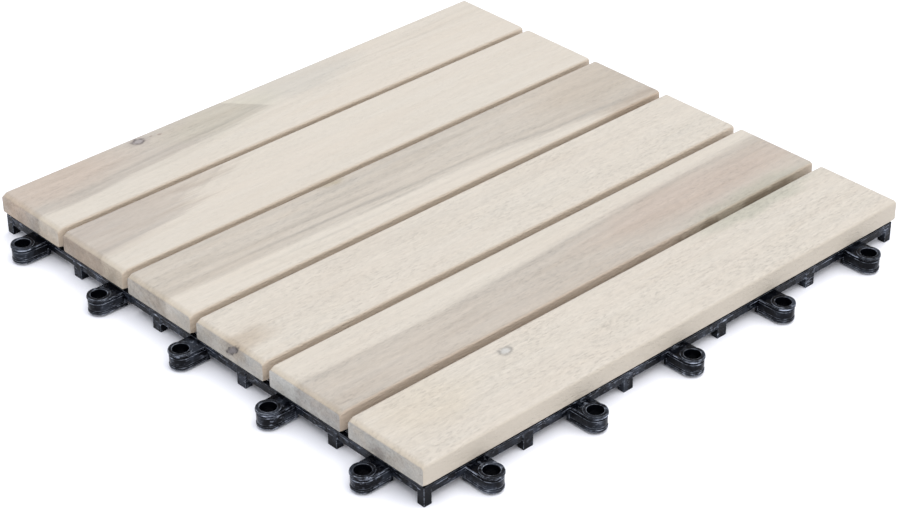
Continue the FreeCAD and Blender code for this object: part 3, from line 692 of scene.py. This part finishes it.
PATCHES = {
    1: ({"Centre": (-0.138, -0.128, 0.018), "Size": (0.020, 0.060, 0.02), "Tint": (0.98, 0.925, 0.90, 1)},
        {"Centre": (-0.134, -0.030, 0.018), "Size": (0.018, 0.050, 0.02), "Tint": (0.955, 0.975, 0.94, 1)},
        {"Centre": (-0.138, 0.025, 0.018), "Size": (0.020, 0.055, 0.02), "Tint": (0.91, 0.925, 0.94, 1)}),
    2: ({"Centre": (-0.0912, -0.074, 0.018), "Size": (0.0034, 0.030, 0.02), "Ragged": 0.005,
         "Tint": (0.90, 0.885, 0.87, 1)},
        {"Centre": (-0.0785, -0.106, 0.018), "Size": (0.0030, 0.034, 0.02), "Ragged": 0.005,
         "Tint": (0.91, 0.895, 0.88, 1)},
        {"Centre": (-0.0960, -0.090, 0.018), "Size": (0.0130, 0.055, 0.02),
         "Tint": (0.94, 0.925, 0.915, 1)}),
    3: ({"Centre": (-0.034, 0.135, 0.018), "Size": (0.030, 0.070, 0.02), "Tint": (0.94, 0.92, 0.90, 1)},
        {"Centre": (-0.0045, 0.140, 0.018), "Size": (0.0070, 0.045, 0.02), "Tint": (0.86, 0.82, 0.79, 1)},
        {"Centre": (-0.0480, -0.032, 0.021), "Size": (0.0045, 0.011, 0.01), "Tint": (0.84, 0.81, 0.72, 1)}),
    4: ({"Centre": (0.0285, -0.149, 0.020), "Size": (0.0110, 0.026, 0.010),
         "Tint": (0.83, 0.785, 0.74, 1)},),
    5: ({"Centre": (0.077, 0.090, 0.018), "Size": (0.019, 0.100, 0.02), "Tint": (0.975, 0.920, 0.908, 1)},
        {"Centre": (0.097, 0.105, 0.018), "Size": (0.009, 0.060, 0.02), "Tint": (0.91, 0.95, 0.92, 1)},
        # Painted shade on slat 5's flank, down in the gap to slat 6 and towards the far end
        {"Centre": (0.0978, 0.110, 0.0155), "Size": (0.0018, 0.120, 0.0075), "Tint": (0.66, 0.62, 0.59, 1)}),
    6: ({"Centre": (0.1045, 0.098, 0.018), "Size": (0.009, 0.055, 0.02), "Tint": (0.80, 0.84, 0.81, 1)},
        {"Centre": (0.116, -0.120, 0.018), "Size": (0.022, 0.035, 0.02), "Tint": (0.975, 0.96, 0.93, 1)},
        {"Centre": (0.1205, -0.1495, 0.0135), "Size": (0.005, 0.005, 0.005), "Ragged": 0.004,
         "Tint": (0.74, 0.72, 0.72, 1)}),
}
print("knots:", sum(map(len, KNOTS.values())), "patches:", sum(map(len, PATCHES.values())))

# %% Material of one slat
# How far a curve reaches each way, and the factor that makes 1 of a curve's 100 mm
CURVE_HALF = 150 * MM
HUNDREDTHS = 1 / (100 * MM)


def draw_curve(tree, value, points):
    """A curve through points in millimetres that turns one coordinate into another."""
    value = maths(tree, "MULTIPLY_ADD", value, 0.5 / CURVE_HALF, 0.5)
    node = add(tree, "ShaderNodeFloatCurve", {"Value": value})
    curve = node.mapping.curves[0]
    while len(curve.points) < len(points):
        curve.points.new(0.5, 0.5)
    for spot, (a, b) in zip(curve.points, points):
        spot.location = (a * MM * 0.5 / CURVE_HALF + 0.5, b * MM * 0.5 / CURVE_HALF + 0.5)
    node.mapping.use_clip = False
    node.mapping.update()
    return maths(tree, "MULTIPLY_ADD", node.outputs[0], 2 * CURVE_HALF, -CURVE_HALF)


def make_wood(number):
    material, tree = new_finish(f"wood_{number}")
    here = add(tree, "ShaderNodeTexCoord").outputs["Object"]
    along = add(tree, "ShaderNodeSeparateXYZ", {0: here}).outputs["Y"]
    inputs = {"Sapwood": SAPWOOD, "Flank": GAP_FLANK, **BOARDS[number],
              "Edge": draw_curve(tree, along, EDGES[number])}
    if number == 1:
        inputs["Tip"] = draw_curve(tree, along, TIP)
    for name, points in CHANGES.get(number, {}).items():
        inputs[name] = maths(tree, "MULTIPLY", draw_curve(tree, along, points), HUNDREDTHS)
    timber = add(tree, "ShaderNodeGroup", node_tree=timber_group)
    fill(tree, timber, inputs)
    colour = timber.outputs["Color"]
    for group, table in ((patch_group, PATCHES), (knot_group, KNOTS)):
        for values in table.get(number, ()):
            layer = add(tree, "ShaderNodeGroup", node_tree=group)
            fill(tree, layer, {"Color": colour, **values})
            colour = layer.outputs["Color"]
    bump = add(tree, "ShaderNodeBump",
               {"Height": timber.outputs["Height"], "Strength": 0.5, "Distance": 0.3 * MM})
    shader = add(tree, "ShaderNodeBsdfPrincipled",
                 {"Base Color": colour, "Roughness": timber.outputs["Roughness"], "Normal": bump.outputs[0],
                  "Specular IOR Level": 0.3})
    add(tree, "ShaderNodeOutputMaterial", {"Surface": shader.outputs[0]})
    return material


# %% Lay the six slats
SLAT_COUNT = 6
TOP_ROUND = 1.8 * MM
UNDER_ROUND = 0.75 * MM
END_EASE = 1.4 * MM
WAVER = 0.12 * MM
SEED_STEP = 3.7

for number in range(1, SLAT_COUNT + 1):
    node = f"slat_{number}"
    low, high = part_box(node)
    piece = grow(f"timber_{number}", slat_tree, {
        "Length": high[1] - low[1], "Width": high[0] - low[0], "Thickness": high[2] - low[2],
        "Top Round": TOP_ROUND, "Under Round": UNDER_ROUND, "End Ease": END_EASE,
        "Place": tuple((a + b) / 2 for a, b in zip(low, high)),
        "Waver": WAVER, "Seed": SEED_STEP * number, "Material": make_wood(number)})
    flatten_faces(piece)
    describe(piece)
    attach(piece, "root")
    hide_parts(node)

# %% [markdown]
# ## The plastic
# The grid is injection moulded in black plastic. Plain black would look like a hole, so the finish
# has four parts: the black base, a patchy bluish sheen that is a painted reflection, painted
# highlights along the edges and painted glints. The edges come from an attribute on the mesh: 1 on a
# rounded edge, 0 on a wall and -1 inside a bore. A broken row of painted glints runs at the height of
# the proud lips. Inside a bore, and close under the slats, the painted sheen, highlights and glints are
# left out as painted shade, so the base stays black there.

# %% Group: moulded plastic
# Heights where the painted shade begins and where the lips' row of painted glints lies, and how marks are
# drawn flat
UNLIT_FROM = 9.6 * MM
UNLIT_FADE = 0.2 * MM
LIP_AT = 8.1 * MM
LIP_HALF = 0.6 * MM
LIP_CORE = 0.4
FLATTER = (1.0, 1.0, 2.8)


def draw_painted_glints(tree, given, edge, height, flat, mark, patchy):
    """Painted glints: scattered ones, more of them on edges, and a broken row along the proud lips."""
    painted_glints = maths(tree, "MULTIPLY", remap(tree, mark, 0.56, 0.66), remap(tree, patchy, 0.46, 0.60))
    painted_glints = maths(tree, "MULTIPLY", painted_glints, maths(tree, "MULTIPLY_ADD", edge, 0.8, 0.5))
    painted_glints = maths(tree, "MULTIPLY", painted_glints, given["Scuffs"])
    # The lips' row of painted glints
    from_lip = maths(tree, "ABSOLUTE", maths(tree, "SUBTRACT", height, LIP_AT))
    row = remap(tree, from_lip, LIP_HALF, LIP_HALF * LIP_CORE)
    row = maths(tree, "MULTIPLY", row, remap(tree, cloud(tree, flat, 140.0).outputs["Fac"], 0.52, 0.60))
    row = maths(tree, "MULTIPLY", row, remap(tree, mark, 0.38, 0.56, 0.25, 1.0))
    return maths(tree, "MAXIMUM", painted_glints, row)


def make_plastic_group():
    tree = bpy.data.node_groups.new("moulded plastic", "ShaderNodeTree")
    sockets(tree, "INPUT", (
        ("Base", "Color", (0.0016, 0.0020, 0.0036, 1)), ("Sheen", "Color", (0.027, 0.032, 0.043, 1)),
        ("Rubbed", "Color", (0.150, 0.165, 0.195, 1)), ("Scuffed", "Color", (0.42, 0.46, 0.55, 1)),
        ("Gloss", "Float", 0.16), ("Scuffs", "Float", 0.6)))
    sockets(tree, "OUTPUT", (
        ("Color", "Color", None), ("Roughness", "Float", None), ("Height", "Float", None)))
    given = add(tree, "NodeGroupInput").outputs
    here = add(tree, "ShaderNodeTexCoord").outputs["Object"]
    height = add(tree, "ShaderNodeSeparateXYZ", {0: here}).outputs["Z"]
    edge = add(tree, "ShaderNodeAttribute", attribute_name="edge").outputs["Fac"]
    patchy = cloud(tree, here, 70.0, 4.0, 0.6).outputs["Fac"]
    grain = cloud(tree, here, 900.0, 2.0, 0.6).outputs["Fac"]
    wave = cloud(tree, here, 170.0).outputs["Fac"]
    flat = add(tree, "ShaderNodeVectorMath", {0: here, 1: FLATTER}, operation="MULTIPLY").outputs[0]
    mark = cloud(tree, flat, 330.0, 3.0, 0.6).outputs["Fac"]

    # Painted shade: inside a bore and close under the slats the painted sheen, highlights and glints are
    # taken out
    unlit = maths(tree, "MAXIMUM", maths(tree, "MULTIPLY", edge, -1.0, clamp=True),
                  remap(tree, height, UNLIT_FROM, UNLIT_FROM + UNLIT_FADE))
    lit = maths(tree, "SUBTRACT", 1.0, unlit)
    # Painted reflection: a patchy bluish sheen laid into the colour
    painted_sheen = maths(tree, "MULTIPLY", remap(tree, wave, 0.45, 0.64), remap(tree, patchy, 0.36, 0.56, 0.1, 1.0))
    painted_sheen = maths(tree, "MULTIPLY", painted_sheen, lit)
    # Painted highlights along the rounded edges
    edge_highlight = maths(tree, "MULTIPLY", edge, remap(tree, mark, 0.42, 0.62, 0.12, 1.0), clamp=True)
    edge_highlight = maths(tree, "MULTIPLY", edge_highlight, lit)
    # Painted glints, scattered and along the lips
    painted_glints = maths(tree, "MULTIPLY", draw_painted_glints(tree, given, edge, height, flat, mark, patchy), lit)

    # The black base, with the painted reflection, painted edge highlights and painted glints laid over it
    colour = blend(tree, painted_sheen, given["Base"], given["Sheen"])
    colour = blend(tree, edge_highlight, colour, given["Rubbed"])
    colour = blend(tree, painted_glints, colour, given["Scuffed"])
    rough = maths(tree, "ADD", given["Gloss"], maths(tree, "MULTIPLY", patchy, 0.12))
    rough = maths(tree, "ADD", rough, maths(tree, "MULTIPLY", painted_glints, 0.3), clamp=True)
    relief = maths(tree, "ADD", maths(tree, "MULTIPLY", grain, 0.15), wave)
    add(tree, "NodeGroupOutput", {"Color": colour, "Roughness": rough, "Height": relief})
    return tree


def make_plastic():
    material, tree = new_finish("black_plastic")
    group = add(tree, "ShaderNodeGroup", node_tree=make_plastic_group())
    bump = add(tree, "ShaderNodeBump",
               {"Height": group.outputs["Height"], "Strength": 0.5, "Distance": 0.4 * MM})
    shader = add(tree, "ShaderNodeBsdfPrincipled",
                 {"Base Color": group.outputs["Color"], "Roughness": group.outputs["Roughness"],
                  "Normal": bump.outputs[0], "Specular IOR Level": 0.09})
    add(tree, "ShaderNodeOutputMaterial", {"Surface": shader.outputs[0]})
    return material


plastic = make_plastic()
print("plastic:", len(plastic.node_tree.nodes), "nodes and its group")

# %% [markdown]
# ## The moulded grid
# The solid already has every wall, foot and peg, but its edges are knife sharp, and no mould gives
# that. Drawing the whole grid again would be slow and could drift from the solid. So a copy of the
# solid's mesh is merged, and its flat faces are joined again. The plain clip rings come off at the
# rim's face, since finer ones take their place.

# %% Take the grid's mesh
MERGE_WITHIN = 0.005 * MM
FLAT_WITHIN = math.radians(0.5)


def clean_mesh(mesh):
    """Merge a mesh's doubles, make its flat faces whole again, and say what is left."""
    work = bmesh.new()
    work.from_mesh(mesh)
    bmesh.ops.remove_doubles(work, verts=work.verts, dist=MERGE_WITHIN)
    bmesh.ops.dissolve_limit(work, angle_limit=FLAT_WITHIN, verts=work.verts, edges=work.edges)
    open_edges = sum(not edge.is_manifold for edge in work.edges)
    print(mesh.name, len(work.faces), "faces,", open_edges, "open edges")
    work.to_mesh(mesh)
    work.free()


grid = link_piece("grid_copy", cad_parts["base_grid"].data.copy())
grid.data.name = grid.name
clean_mesh(grid.data)

# %% Cut its plain rings away
RING_PITCH = 60 * MM
RING_COUNT = 5
FRONT_RING = Vector((-120.0, -157.7, 0.0)) * MM
SIDE_RING = Vector((155.75, -120.0, 0.0)) * MM

# The cutter's half width, and its outline as (towards the rim, up), in millimetres from a ring's centre
CUTTER_HALF = 6.2
CUTTER_OUTLINE = ((9.8, -1.0), (9.8, 8.3), (9.2, 8.3), (9.2, 12.0), (-8.0, 12.0), (-8.0, -1.0))


def skin(work, below, above):
    """A band of faces between two loops of points."""
    count = len(below)
    for i in range(count):
        work.faces.new((below[i], below[(i + 1) % count], above[(i + 1) % count], above[i]))


def finish_mesh(work, name):
    """A mesh from work in hand, with its faces turned outwards."""
    bmesh.ops.recalc_face_normals(work, faces=work.faces)
    mesh = bpy.data.meshes.new(name)
    work.to_mesh(mesh)
    work.free()
    return mesh


def make_cutter():
    """A block round each plain ring, whose back follows the rim's wall and its proud lip."""
    work = bmesh.new()
    for first, step, turn in ((FRONT_RING, Vector((RING_PITCH, 0, 0)), 0.0),
                              (SIDE_RING, Vector((0, RING_PITCH, 0)), math.pi / 2)):
        for number in range(RING_COUNT):
            place = Matrix.Translation(first + step * number) @ Matrix.Rotation(turn, 4, "Z")
            left, right = (
                [work.verts.new(place @ Vector((x * MM, y * MM, z * MM))) for y, z in CUTTER_OUTLINE]
                for x in (-CUTTER_HALF, CUTTER_HALF))
            skin(work, left, right)
            work.faces.new(left[::-1])
            work.faces.new(right)
    return link_piece("cutter", finish_mesh(work, "cutter"))


cutter = make_cutter()
cut = grid.modifiers.new("cut", "BOOLEAN")
cut.operation = "DIFFERENCE"
cut.solver = "EXACT"
cut.object = cutter
bake_modifiers(grid)
bpy.data.objects.remove(cutter)
clean_mesh(grid.data)

# %% [markdown]
# A bevel rounds every edge by a fifth of a millimetre. It marks its own faces with a second
# material, which is read into the attribute that the finish needs, and goes when the tree below sets
# the one material of the piece. Where two bevels meet at a thin wall they can stand a hair past the
# solid, so each point is held inside the solid's box.

# %% Round the grid's edges
SHARP_FROM = math.radians(30)
EDGE_ROUND = 0.22 * MM


def mark_edges(mesh, flags):
    """Write on each face whether it is a rounded edge (1), a wall (0) or inside a bore (-1)."""
    layer = mesh.attributes.new("edge", "FLOAT", "FACE")
    layer.data.foreach_set("value", [float(flag) for flag in flags])


grid.data.materials.clear()
for material in (plastic, plastic.copy()):
    grid.data.materials.append(material)
for face in grid.data.polygons:
    face.material_index = 0
grid.data.shade_smooth()
grid.data.set_sharp_from_angle(angle=SHARP_FROM)
bevel = grid.modifiers.new("eased", "BEVEL")
bevel.limit_method = "ANGLE"
bevel.angle_limit = SHARP_FROM
bevel.width = EDGE_ROUND
bevel.segments = 2
bevel.use_clamp_overlap = False
bevel.material = 1
bevel.harden_normals = True
bake_modifiers(grid)
low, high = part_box("base_grid")
for vertex in grid.data.vertices:
    vertex.co = [min(max(value, least), most) for value, least, most in zip(vertex.co, low, high)]
mark_edges(grid.data, [face.material_index for face in grid.data.polygons])
print("rounded grid:", len(grid.data.polygons), "faces")

# %% [markdown]
# ## The clip rings
# Ten equal rings stick out of two sides and clip over the next tile's pegs. From the floor up, each
# has a rolled foot, a groove, a plain body, a second groove and a proud lip, and a collar stands on
# its top round the bore. One is drawn as a stack of loops, each either U-shaped like the arm or a
# circle round the bore, and every loop has the same number of points. Geometry Nodes then set it in
# two rows and join the rows to the grid.

# %% One ring
NOSE_STEPS = 30
SIDE_STEPS = 5
BACK_STEPS = 6
ARM_BACK = 10.6

# (shape, half width or radius, height, the edge value of the band below it), in millimetres
RING_LOOPS = (
    ("circle", 4.00, 0.90, 0), ("arm", 4.95, 0.90, 0), ("arm", 5.30, 1.05, 1), ("arm", 5.46, 1.35, 1),
    ("arm", 5.50, 1.75, 1), ("arm", 5.50, 2.35, 0), ("arm", 5.38, 2.55, 1), ("arm", 5.12, 2.65, 0),
    ("arm", 5.08, 2.95, 0), ("arm", 5.26, 3.15, 0), ("arm", 5.34, 3.45, 1), ("arm", 5.36, 6.55, 0),
    ("arm", 5.26, 6.85, 1), ("arm", 4.98, 7.05, 0), ("arm", 4.92, 7.70, 0), ("arm", 5.10, 7.88, 0),
    ("arm", 5.58, 7.95, 0), ("arm", 5.70, 8.10, 1), ("arm", 5.70, 8.66, 0), ("arm", 5.64, 8.80, 1),
    ("arm", 5.58, 8.84, 1), ("circle", 5.56, 8.86, 0), ("circle", 5.54, 9.20, 0),
    ("circle", 5.46, 9.36, 1), ("circle", 5.32, 9.40, 1), ("circle", 4.10, 9.40, 0),
    ("circle", 3.85, 9.30, 1), ("circle", 3.75, 9.05, 0), ("circle", 3.75, 1.20, -1),
    ("circle", 3.82, 1.00, -1),
)


def loop_points(shape, size):
    """Points round a ring: half a circle at the nose, then the arm's sides and back, or the circle."""
    points = []
    for i in range(NOSE_STEPS + 1):
        angle = math.pi + math.pi * i / NOSE_STEPS
        points.append((size * math.cos(angle), size * math.sin(angle)))
    rest = 2 * SIDE_STEPS + BACK_STEPS
    for i in range(1, rest):
        if shape == "circle":
            angle = math.pi * i / rest
            points.append((size * math.cos(angle), size * math.sin(angle)))
        elif i <= SIDE_STEPS:
            points.append((size, ARM_BACK * i / SIDE_STEPS))
        elif i <= SIDE_STEPS + BACK_STEPS:
            points.append((size - 2 * size * (i - SIDE_STEPS) / BACK_STEPS, ARM_BACK))
        else:
            points.append((-size, ARM_BACK * (rest - i) / SIDE_STEPS))
    return points


def make_ring_mesh():
    work = bmesh.new()
    loops = [[work.verts.new((x * MM, y * MM, height * MM)) for x, y in loop_points(shape, size)]
             for shape, size, height, _ in RING_LOOPS]
    flags = []
    for i, lower in enumerate(loops):
        following = (i + 1) % len(loops)
        skin(work, lower, loops[following])
        flags += [RING_LOOPS[following][3]] * len(lower)
    mesh = finish_mesh(work, "ring")
    mark_edges(mesh, flags)
    return mesh


pattern_ring = link_piece("pattern_ring", make_ring_mesh())
print("one ring:", len(pattern_ring.data.polygons), "faces")

# %% Tree that sets the rings
def make_ring_tree():
    tree = bpy.data.node_groups.new("set rings", "GeometryNodeTree")
    sockets(tree, "INPUT", (
        ("Geometry", "Geometry", None), ("Ring", "Object", None),
        ("Count", "Int", 5), ("Pitch", "Float", 0.06),
        ("Front Start", "Vector", (0, 0, 0)), ("Side Start", "Vector", (0, 0, 0)),
        ("Material", "Material", None)))
    sockets(tree, "OUTPUT", (("Geometry", "Geometry", None),))
    given = add(tree, "NodeGroupInput").outputs
    ring = add(tree, "GeometryNodeObjectInfo", {"Object": given["Ring"]}).outputs["Geometry"]
    joined = add(tree, "GeometryNodeJoinGeometry")
    for start, axis, turn in (("Side Start", "Y", math.pi / 2), ("Front Start", "X", 0.0)):
        step = add(tree, "ShaderNodeCombineXYZ", {axis: given["Pitch"]})
        row = add(tree, "GeometryNodeMeshLine", {"Count": given["Count"], "Start Location": given[start],
                                                 "Offset": step.outputs[0]})
        placed = add(tree, "GeometryNodeInstanceOnPoints", {"Points": row.outputs[0], "Instance": ring,
                                                            "Rotation": (0, 0, turn)})
        real = add(tree, "GeometryNodeRealizeInstances", {"Geometry": placed.outputs[0]})
        tree.links.new(real.outputs[0], joined.inputs[0])
    tree.links.new(given["Geometry"], joined.inputs[0])
    painted = add(tree, "GeometryNodeSetMaterial",
                  {"Geometry": joined.outputs[0], "Material": given["Material"]})
    add(tree, "NodeGroupOutput", {"Geometry": painted.outputs[0]})
    return tree


# %% Join the rings to the grid
moulding = grow("moulded_grid", make_ring_tree(), {
    "Ring": pattern_ring, "Count": RING_COUNT, "Pitch": RING_PITCH, "Front Start": FRONT_RING[:],
    "Side Start": SIDE_RING[:], "Material": plastic}, mesh=grid.data, smooth_angle=40.0)
for spare in (pattern_ring, grid):
    bpy.data.objects.remove(spare)
flatten_faces(moulding)
describe(moulding)
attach(moulding, "root")
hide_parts("base_grid")

# %% [markdown]
# ## The screws
# Twelve equal screws come up through the bosses and into the slats. One is made with care, and
# Geometry Nodes put it in two rows with a turn of its own each time, as a driver leaves them. The
# head is a low dome with a cross recess. The shank has a plain neck and a coarse thread, drawn as
# rings that are wide and narrow in turn, since only its silhouette could ever be seen.

# %% Sizes of a screw
SCREW_SIDES = 36
SCREW_HEAD = 3.5 * MM
SCREW_TALL = 2.0 * MM
SCREW_NECK = 1.45 * MM
NECK_TALL = 3.6 * MM
SCREW_THREAD = 1.72 * MM
THREAD_TURNS = 9
THREAD_ROOT = 0.86 * SCREW_NECK
THREAD_TOP = 11.0 * MM
TIP_RADIUS = 0.25 * SCREW_NECK
TIP_FROM = 12.5 * MM
SCREW_GRIP = 12.6 * MM
RECESS_DEEP = 1.1 * MM
RECESS_POINT = 0.25 * MM
LIP_SUNK = 0.02 * MM

# The dome from its recess out, as shares of the head's radius and of its height
DOME = ((0.35, 0.0), (0.7, 0.1), (0.9, 0.32), (0.98, 0.55), (1.0, 0.8), (1.0, 0.93), (0.97, 1.0))

# The recess at its floor and at its lip: radius as a share of the head's, waist, arm and where an arm starts
RECESS_FLOOR = (0.35, 0.33, 0.62, 0.9)
RECESS_LIP = (0.62, 0.42, 0.56, 0.88)
print("screw:", round(2 * SCREW_HEAD / MM, 1), "mm head,", round(SCREW_GRIP / MM, 1), "mm long under it")

# %% One screw
def ring_of(work, radius, height):
    """A round loop of points."""
    angles = [math.tau * i / SCREW_SIDES for i in range(SCREW_SIDES)]
    return [work.verts.new((radius * math.cos(a), radius * math.sin(a), height)) for a in angles]


def cross_of(work, share, waist, arm, start, height):
    """A cross-shaped loop of points."""
    loop = []
    for i in range(SCREW_SIDES):
        angle = math.tau * i / SCREW_SIDES
        lobe = max(abs(math.cos(angle)), abs(math.sin(angle)))
        radius = SCREW_HEAD * share * (waist + arm * max(0.0, (lobe - start) / (1 - start)))
        loop.append(work.verts.new((radius * math.cos(angle), radius * math.sin(angle), height)))
    return loop


def close_loop(work, loop, height):
    """A fan of faces from a loop to one point on the axis."""
    point = work.verts.new((0, 0, height))
    for i in range(len(loop)):
        work.faces.new((loop[i], loop[(i + 1) % len(loop)], point))


def make_screw_mesh():
    """A pan head at z 0 and below, hanging from its shank, which rises along +Z."""
    work = bmesh.new()
    rings = [ring_of(work, SCREW_HEAD * share, -SCREW_TALL * (1 - rise)) for share, rise in DOME]
    rings += [ring_of(work, SCREW_NECK, 0.0), ring_of(work, SCREW_NECK, NECK_TALL)]
    for step in range(1, 2 * THREAD_TURNS + 1):
        tall = NECK_TALL + (THREAD_TOP - NECK_TALL) * step / (2 * THREAD_TURNS)
        rings.append(ring_of(work, SCREW_THREAD if step % 2 else THREAD_ROOT, tall))
    rings.append(ring_of(work, TIP_RADIUS, TIP_FROM))
    floor = cross_of(work, *RECESS_FLOOR, -SCREW_TALL + RECESS_DEEP)
    lip = cross_of(work, *RECESS_LIP, -SCREW_TALL + LIP_SUNK)
    loops = [floor, lip] + rings
    for below, above in zip(loops, loops[1:]):
        skin(work, below, above)
    close_loop(work, floor[::-1], -SCREW_TALL + RECESS_DEEP + RECESS_POINT)
    close_loop(work, rings[-1], SCREW_GRIP)
    return finish_mesh(work, "screw")


pattern_screw = link_piece("pattern_screw", make_screw_mesh())
print("one screw:", len(pattern_screw.data.polygons), "faces")

# %% [markdown]
# The screws are zinc plated. Zinc tarnishes in small clouds, so one noise mixes a bright and a dull
# grey, and the same noise dulls the gloss and lifts the surface a little.

# %% Finish of the screws
BRIGHT_ZINC = (0.60, 0.60, 0.59, 1)
DULL_ZINC = (0.42, 0.40, 0.36, 1)


def make_steel():
    material, tree = new_finish("screw_steel")
    here = add(tree, "ShaderNodeTexCoord").outputs["Object"]
    tarnish = cloud(tree, here, 420.0, 4.0).outputs["Fac"]
    zinc = blend(tree, remap(tree, tarnish, 0.35, 0.7), BRIGHT_ZINC, DULL_ZINC)
    rough = maths(tree, "MULTIPLY_ADD", tarnish, 0.35, 0.18)
    bump = add(tree, "ShaderNodeBump", {"Height": tarnish, "Strength": 0.15, "Distance": 0.1 * MM})
    shader = add(tree, "ShaderNodeBsdfPrincipled",
                 {"Base Color": zinc, "Metallic": 1.0, "Roughness": rough, "Normal": bump.outputs[0]})
    add(tree, "ShaderNodeOutputMaterial", {"Surface": shader.outputs[0]})
    return material


steel = make_steel()
print("steel:", len(steel.node_tree.nodes), "nodes")

# %% Tree that sets the screws
def make_screw_tree():
    tree = bpy.data.node_groups.new("set screws", "GeometryNodeTree")
    sockets(tree, "INPUT", (
        ("Screw", "Object", None), ("Across", "Int", 6), ("Along", "Int", 2),
        ("Pitch Across", "Float", 0.05), ("Pitch Along", "Float", 0.24),
        ("Seat", "Float", 0.006), ("Seed", "Int", 4), ("Material", "Material", None)))
    sockets(tree, "OUTPUT", (("Geometry", "Geometry", None),))
    given = add(tree, "NodeGroupInput").outputs
    size_x = maths(tree, "MULTIPLY", given["Pitch Across"], maths(tree, "SUBTRACT", given["Across"], 1.0))
    size_y = maths(tree, "MULTIPLY", given["Pitch Along"], maths(tree, "SUBTRACT", given["Along"], 1.0))
    net = add(tree, "GeometryNodeMeshGrid", {"Size X": size_x, "Size Y": size_y,
                                             "Vertices X": given["Across"], "Vertices Y": given["Along"]})
    lift = add(tree, "ShaderNodeCombineXYZ", {"Z": given["Seat"]})
    spots = add(tree, "GeometryNodeSetPosition", {"Geometry": net.outputs[0], "Offset": lift.outputs[0]})
    source = add(tree, "GeometryNodeObjectInfo", {"Object": given["Screw"]}).outputs["Geometry"]
    turn = add(tree, "FunctionNodeRandomValue",
               {"Min": (0, 0, 0), "Max": (0, 0, math.tau), "Seed": given["Seed"]}, data_type="FLOAT_VECTOR")
    placed = add(tree, "GeometryNodeInstanceOnPoints", {"Points": spots.outputs[0], "Instance": source,
                                                        "Rotation": turn.outputs[0]})
    real = add(tree, "GeometryNodeRealizeInstances", {"Geometry": placed.outputs[0]})
    painted = add(tree, "GeometryNodeSetMaterial",
                  {"Geometry": real.outputs[0], "Material": given["Material"]})
    add(tree, "NodeGroupOutput", {"Geometry": painted.outputs[0]})
    return tree


# %% Drive the screws
SCREW_ROWS = 2
SCREW_PITCH = 50 * MM
ROWS_APART = 240 * MM
BOSS_SEAT = 6.0 * MM

screws = grow("slat_screws", make_screw_tree(), {
    "Screw": pattern_screw, "Across": SLAT_COUNT, "Along": SCREW_ROWS, "Pitch Across": SCREW_PITCH,
    "Pitch Along": ROWS_APART, "Seat": BOSS_SEAT, "Seed": 4, "Material": steel})
bpy.data.objects.remove(pattern_screw)
describe(screws)
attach(screws, "root")

# %% [markdown]
# ## Floor and light
# The photograph is a cut-out on white with a soft bluish contact shadow, which comes from a large lamp
# above and pale surroundings. Here that is a white floor, an even sky and one wide lamp that leans
# towards the ring side, so that the slats' long flank is lighter than their sawn ends. A second,
# weak and narrow lamp from behind only puts glints on the plastic.

# %% Floor
FLOOR_HALF = 6.0

corners = [(x * FLOOR_HALF, y * FLOOR_HALF, 0) for x, y in ((-1, -1), (1, -1), (1, 1), (-1, 1))]
floor_mesh = bpy.data.meshes.new("floor")
floor_mesh.from_pydata(corners, [], [(0, 1, 2, 3)])
floor = link_piece("floor", floor_mesh)
floor_paint = bpy.data.materials.new("pale_floor")
floor_paint.use_nodes = True
floor_shader = floor_paint.node_tree.nodes["Principled BSDF"]
floor_shader.inputs["Base Color"].default_value = (0.92, 0.925, 0.975, 1)
floor_shader.inputs["Roughness"].default_value = 0.9
floor_shader.inputs["Specular IOR Level"].default_value = 0.0
floor_mesh.materials.append(floor_paint)
print("floor:", 2 * FLOOR_HALF, "m square")

# %% Light
world = bpy.data.worlds.new("sky")
world.use_nodes = True
sky = world.node_tree.nodes["Background"]
sky.inputs["Color"].default_value = (0.92, 0.945, 1.0, 1)
sky.inputs["Strength"].default_value = 1.03
bpy.context.scene.world = world


def add_lamp(name, heading, rise, strength, spread, colour):
    """A far lamp, seen from the tile at a heading and a rise, both in degrees."""
    lamp = bpy.data.lights.new(name, "SUN")
    lamp.energy = strength
    lamp.angle = math.radians(spread)
    lamp.color = colour
    sun = bpy.data.objects.new(name, lamp)
    direction = Vector((math.cos(math.radians(heading)) * math.cos(math.radians(rise)),
                        math.sin(math.radians(heading)) * math.cos(math.radians(rise)),
                        math.sin(math.radians(rise))))
    sun.rotation_euler = direction.to_track_quat("Z", "Y").to_euler()
    bpy.context.scene.collection.objects.link(sun)
    print(name, "at", heading, "round and", rise, "up")


add_lamp("soft_lamp", 15.0, 70.0, 1.98, 75.0, (1.0, 0.985, 0.955))
add_lamp("glint_lamp", 100.0, 48.0, 0.30, 6.0, (1.0, 0.99, 0.98))
bpy.context.scene.view_settings.view_transform = "Standard"
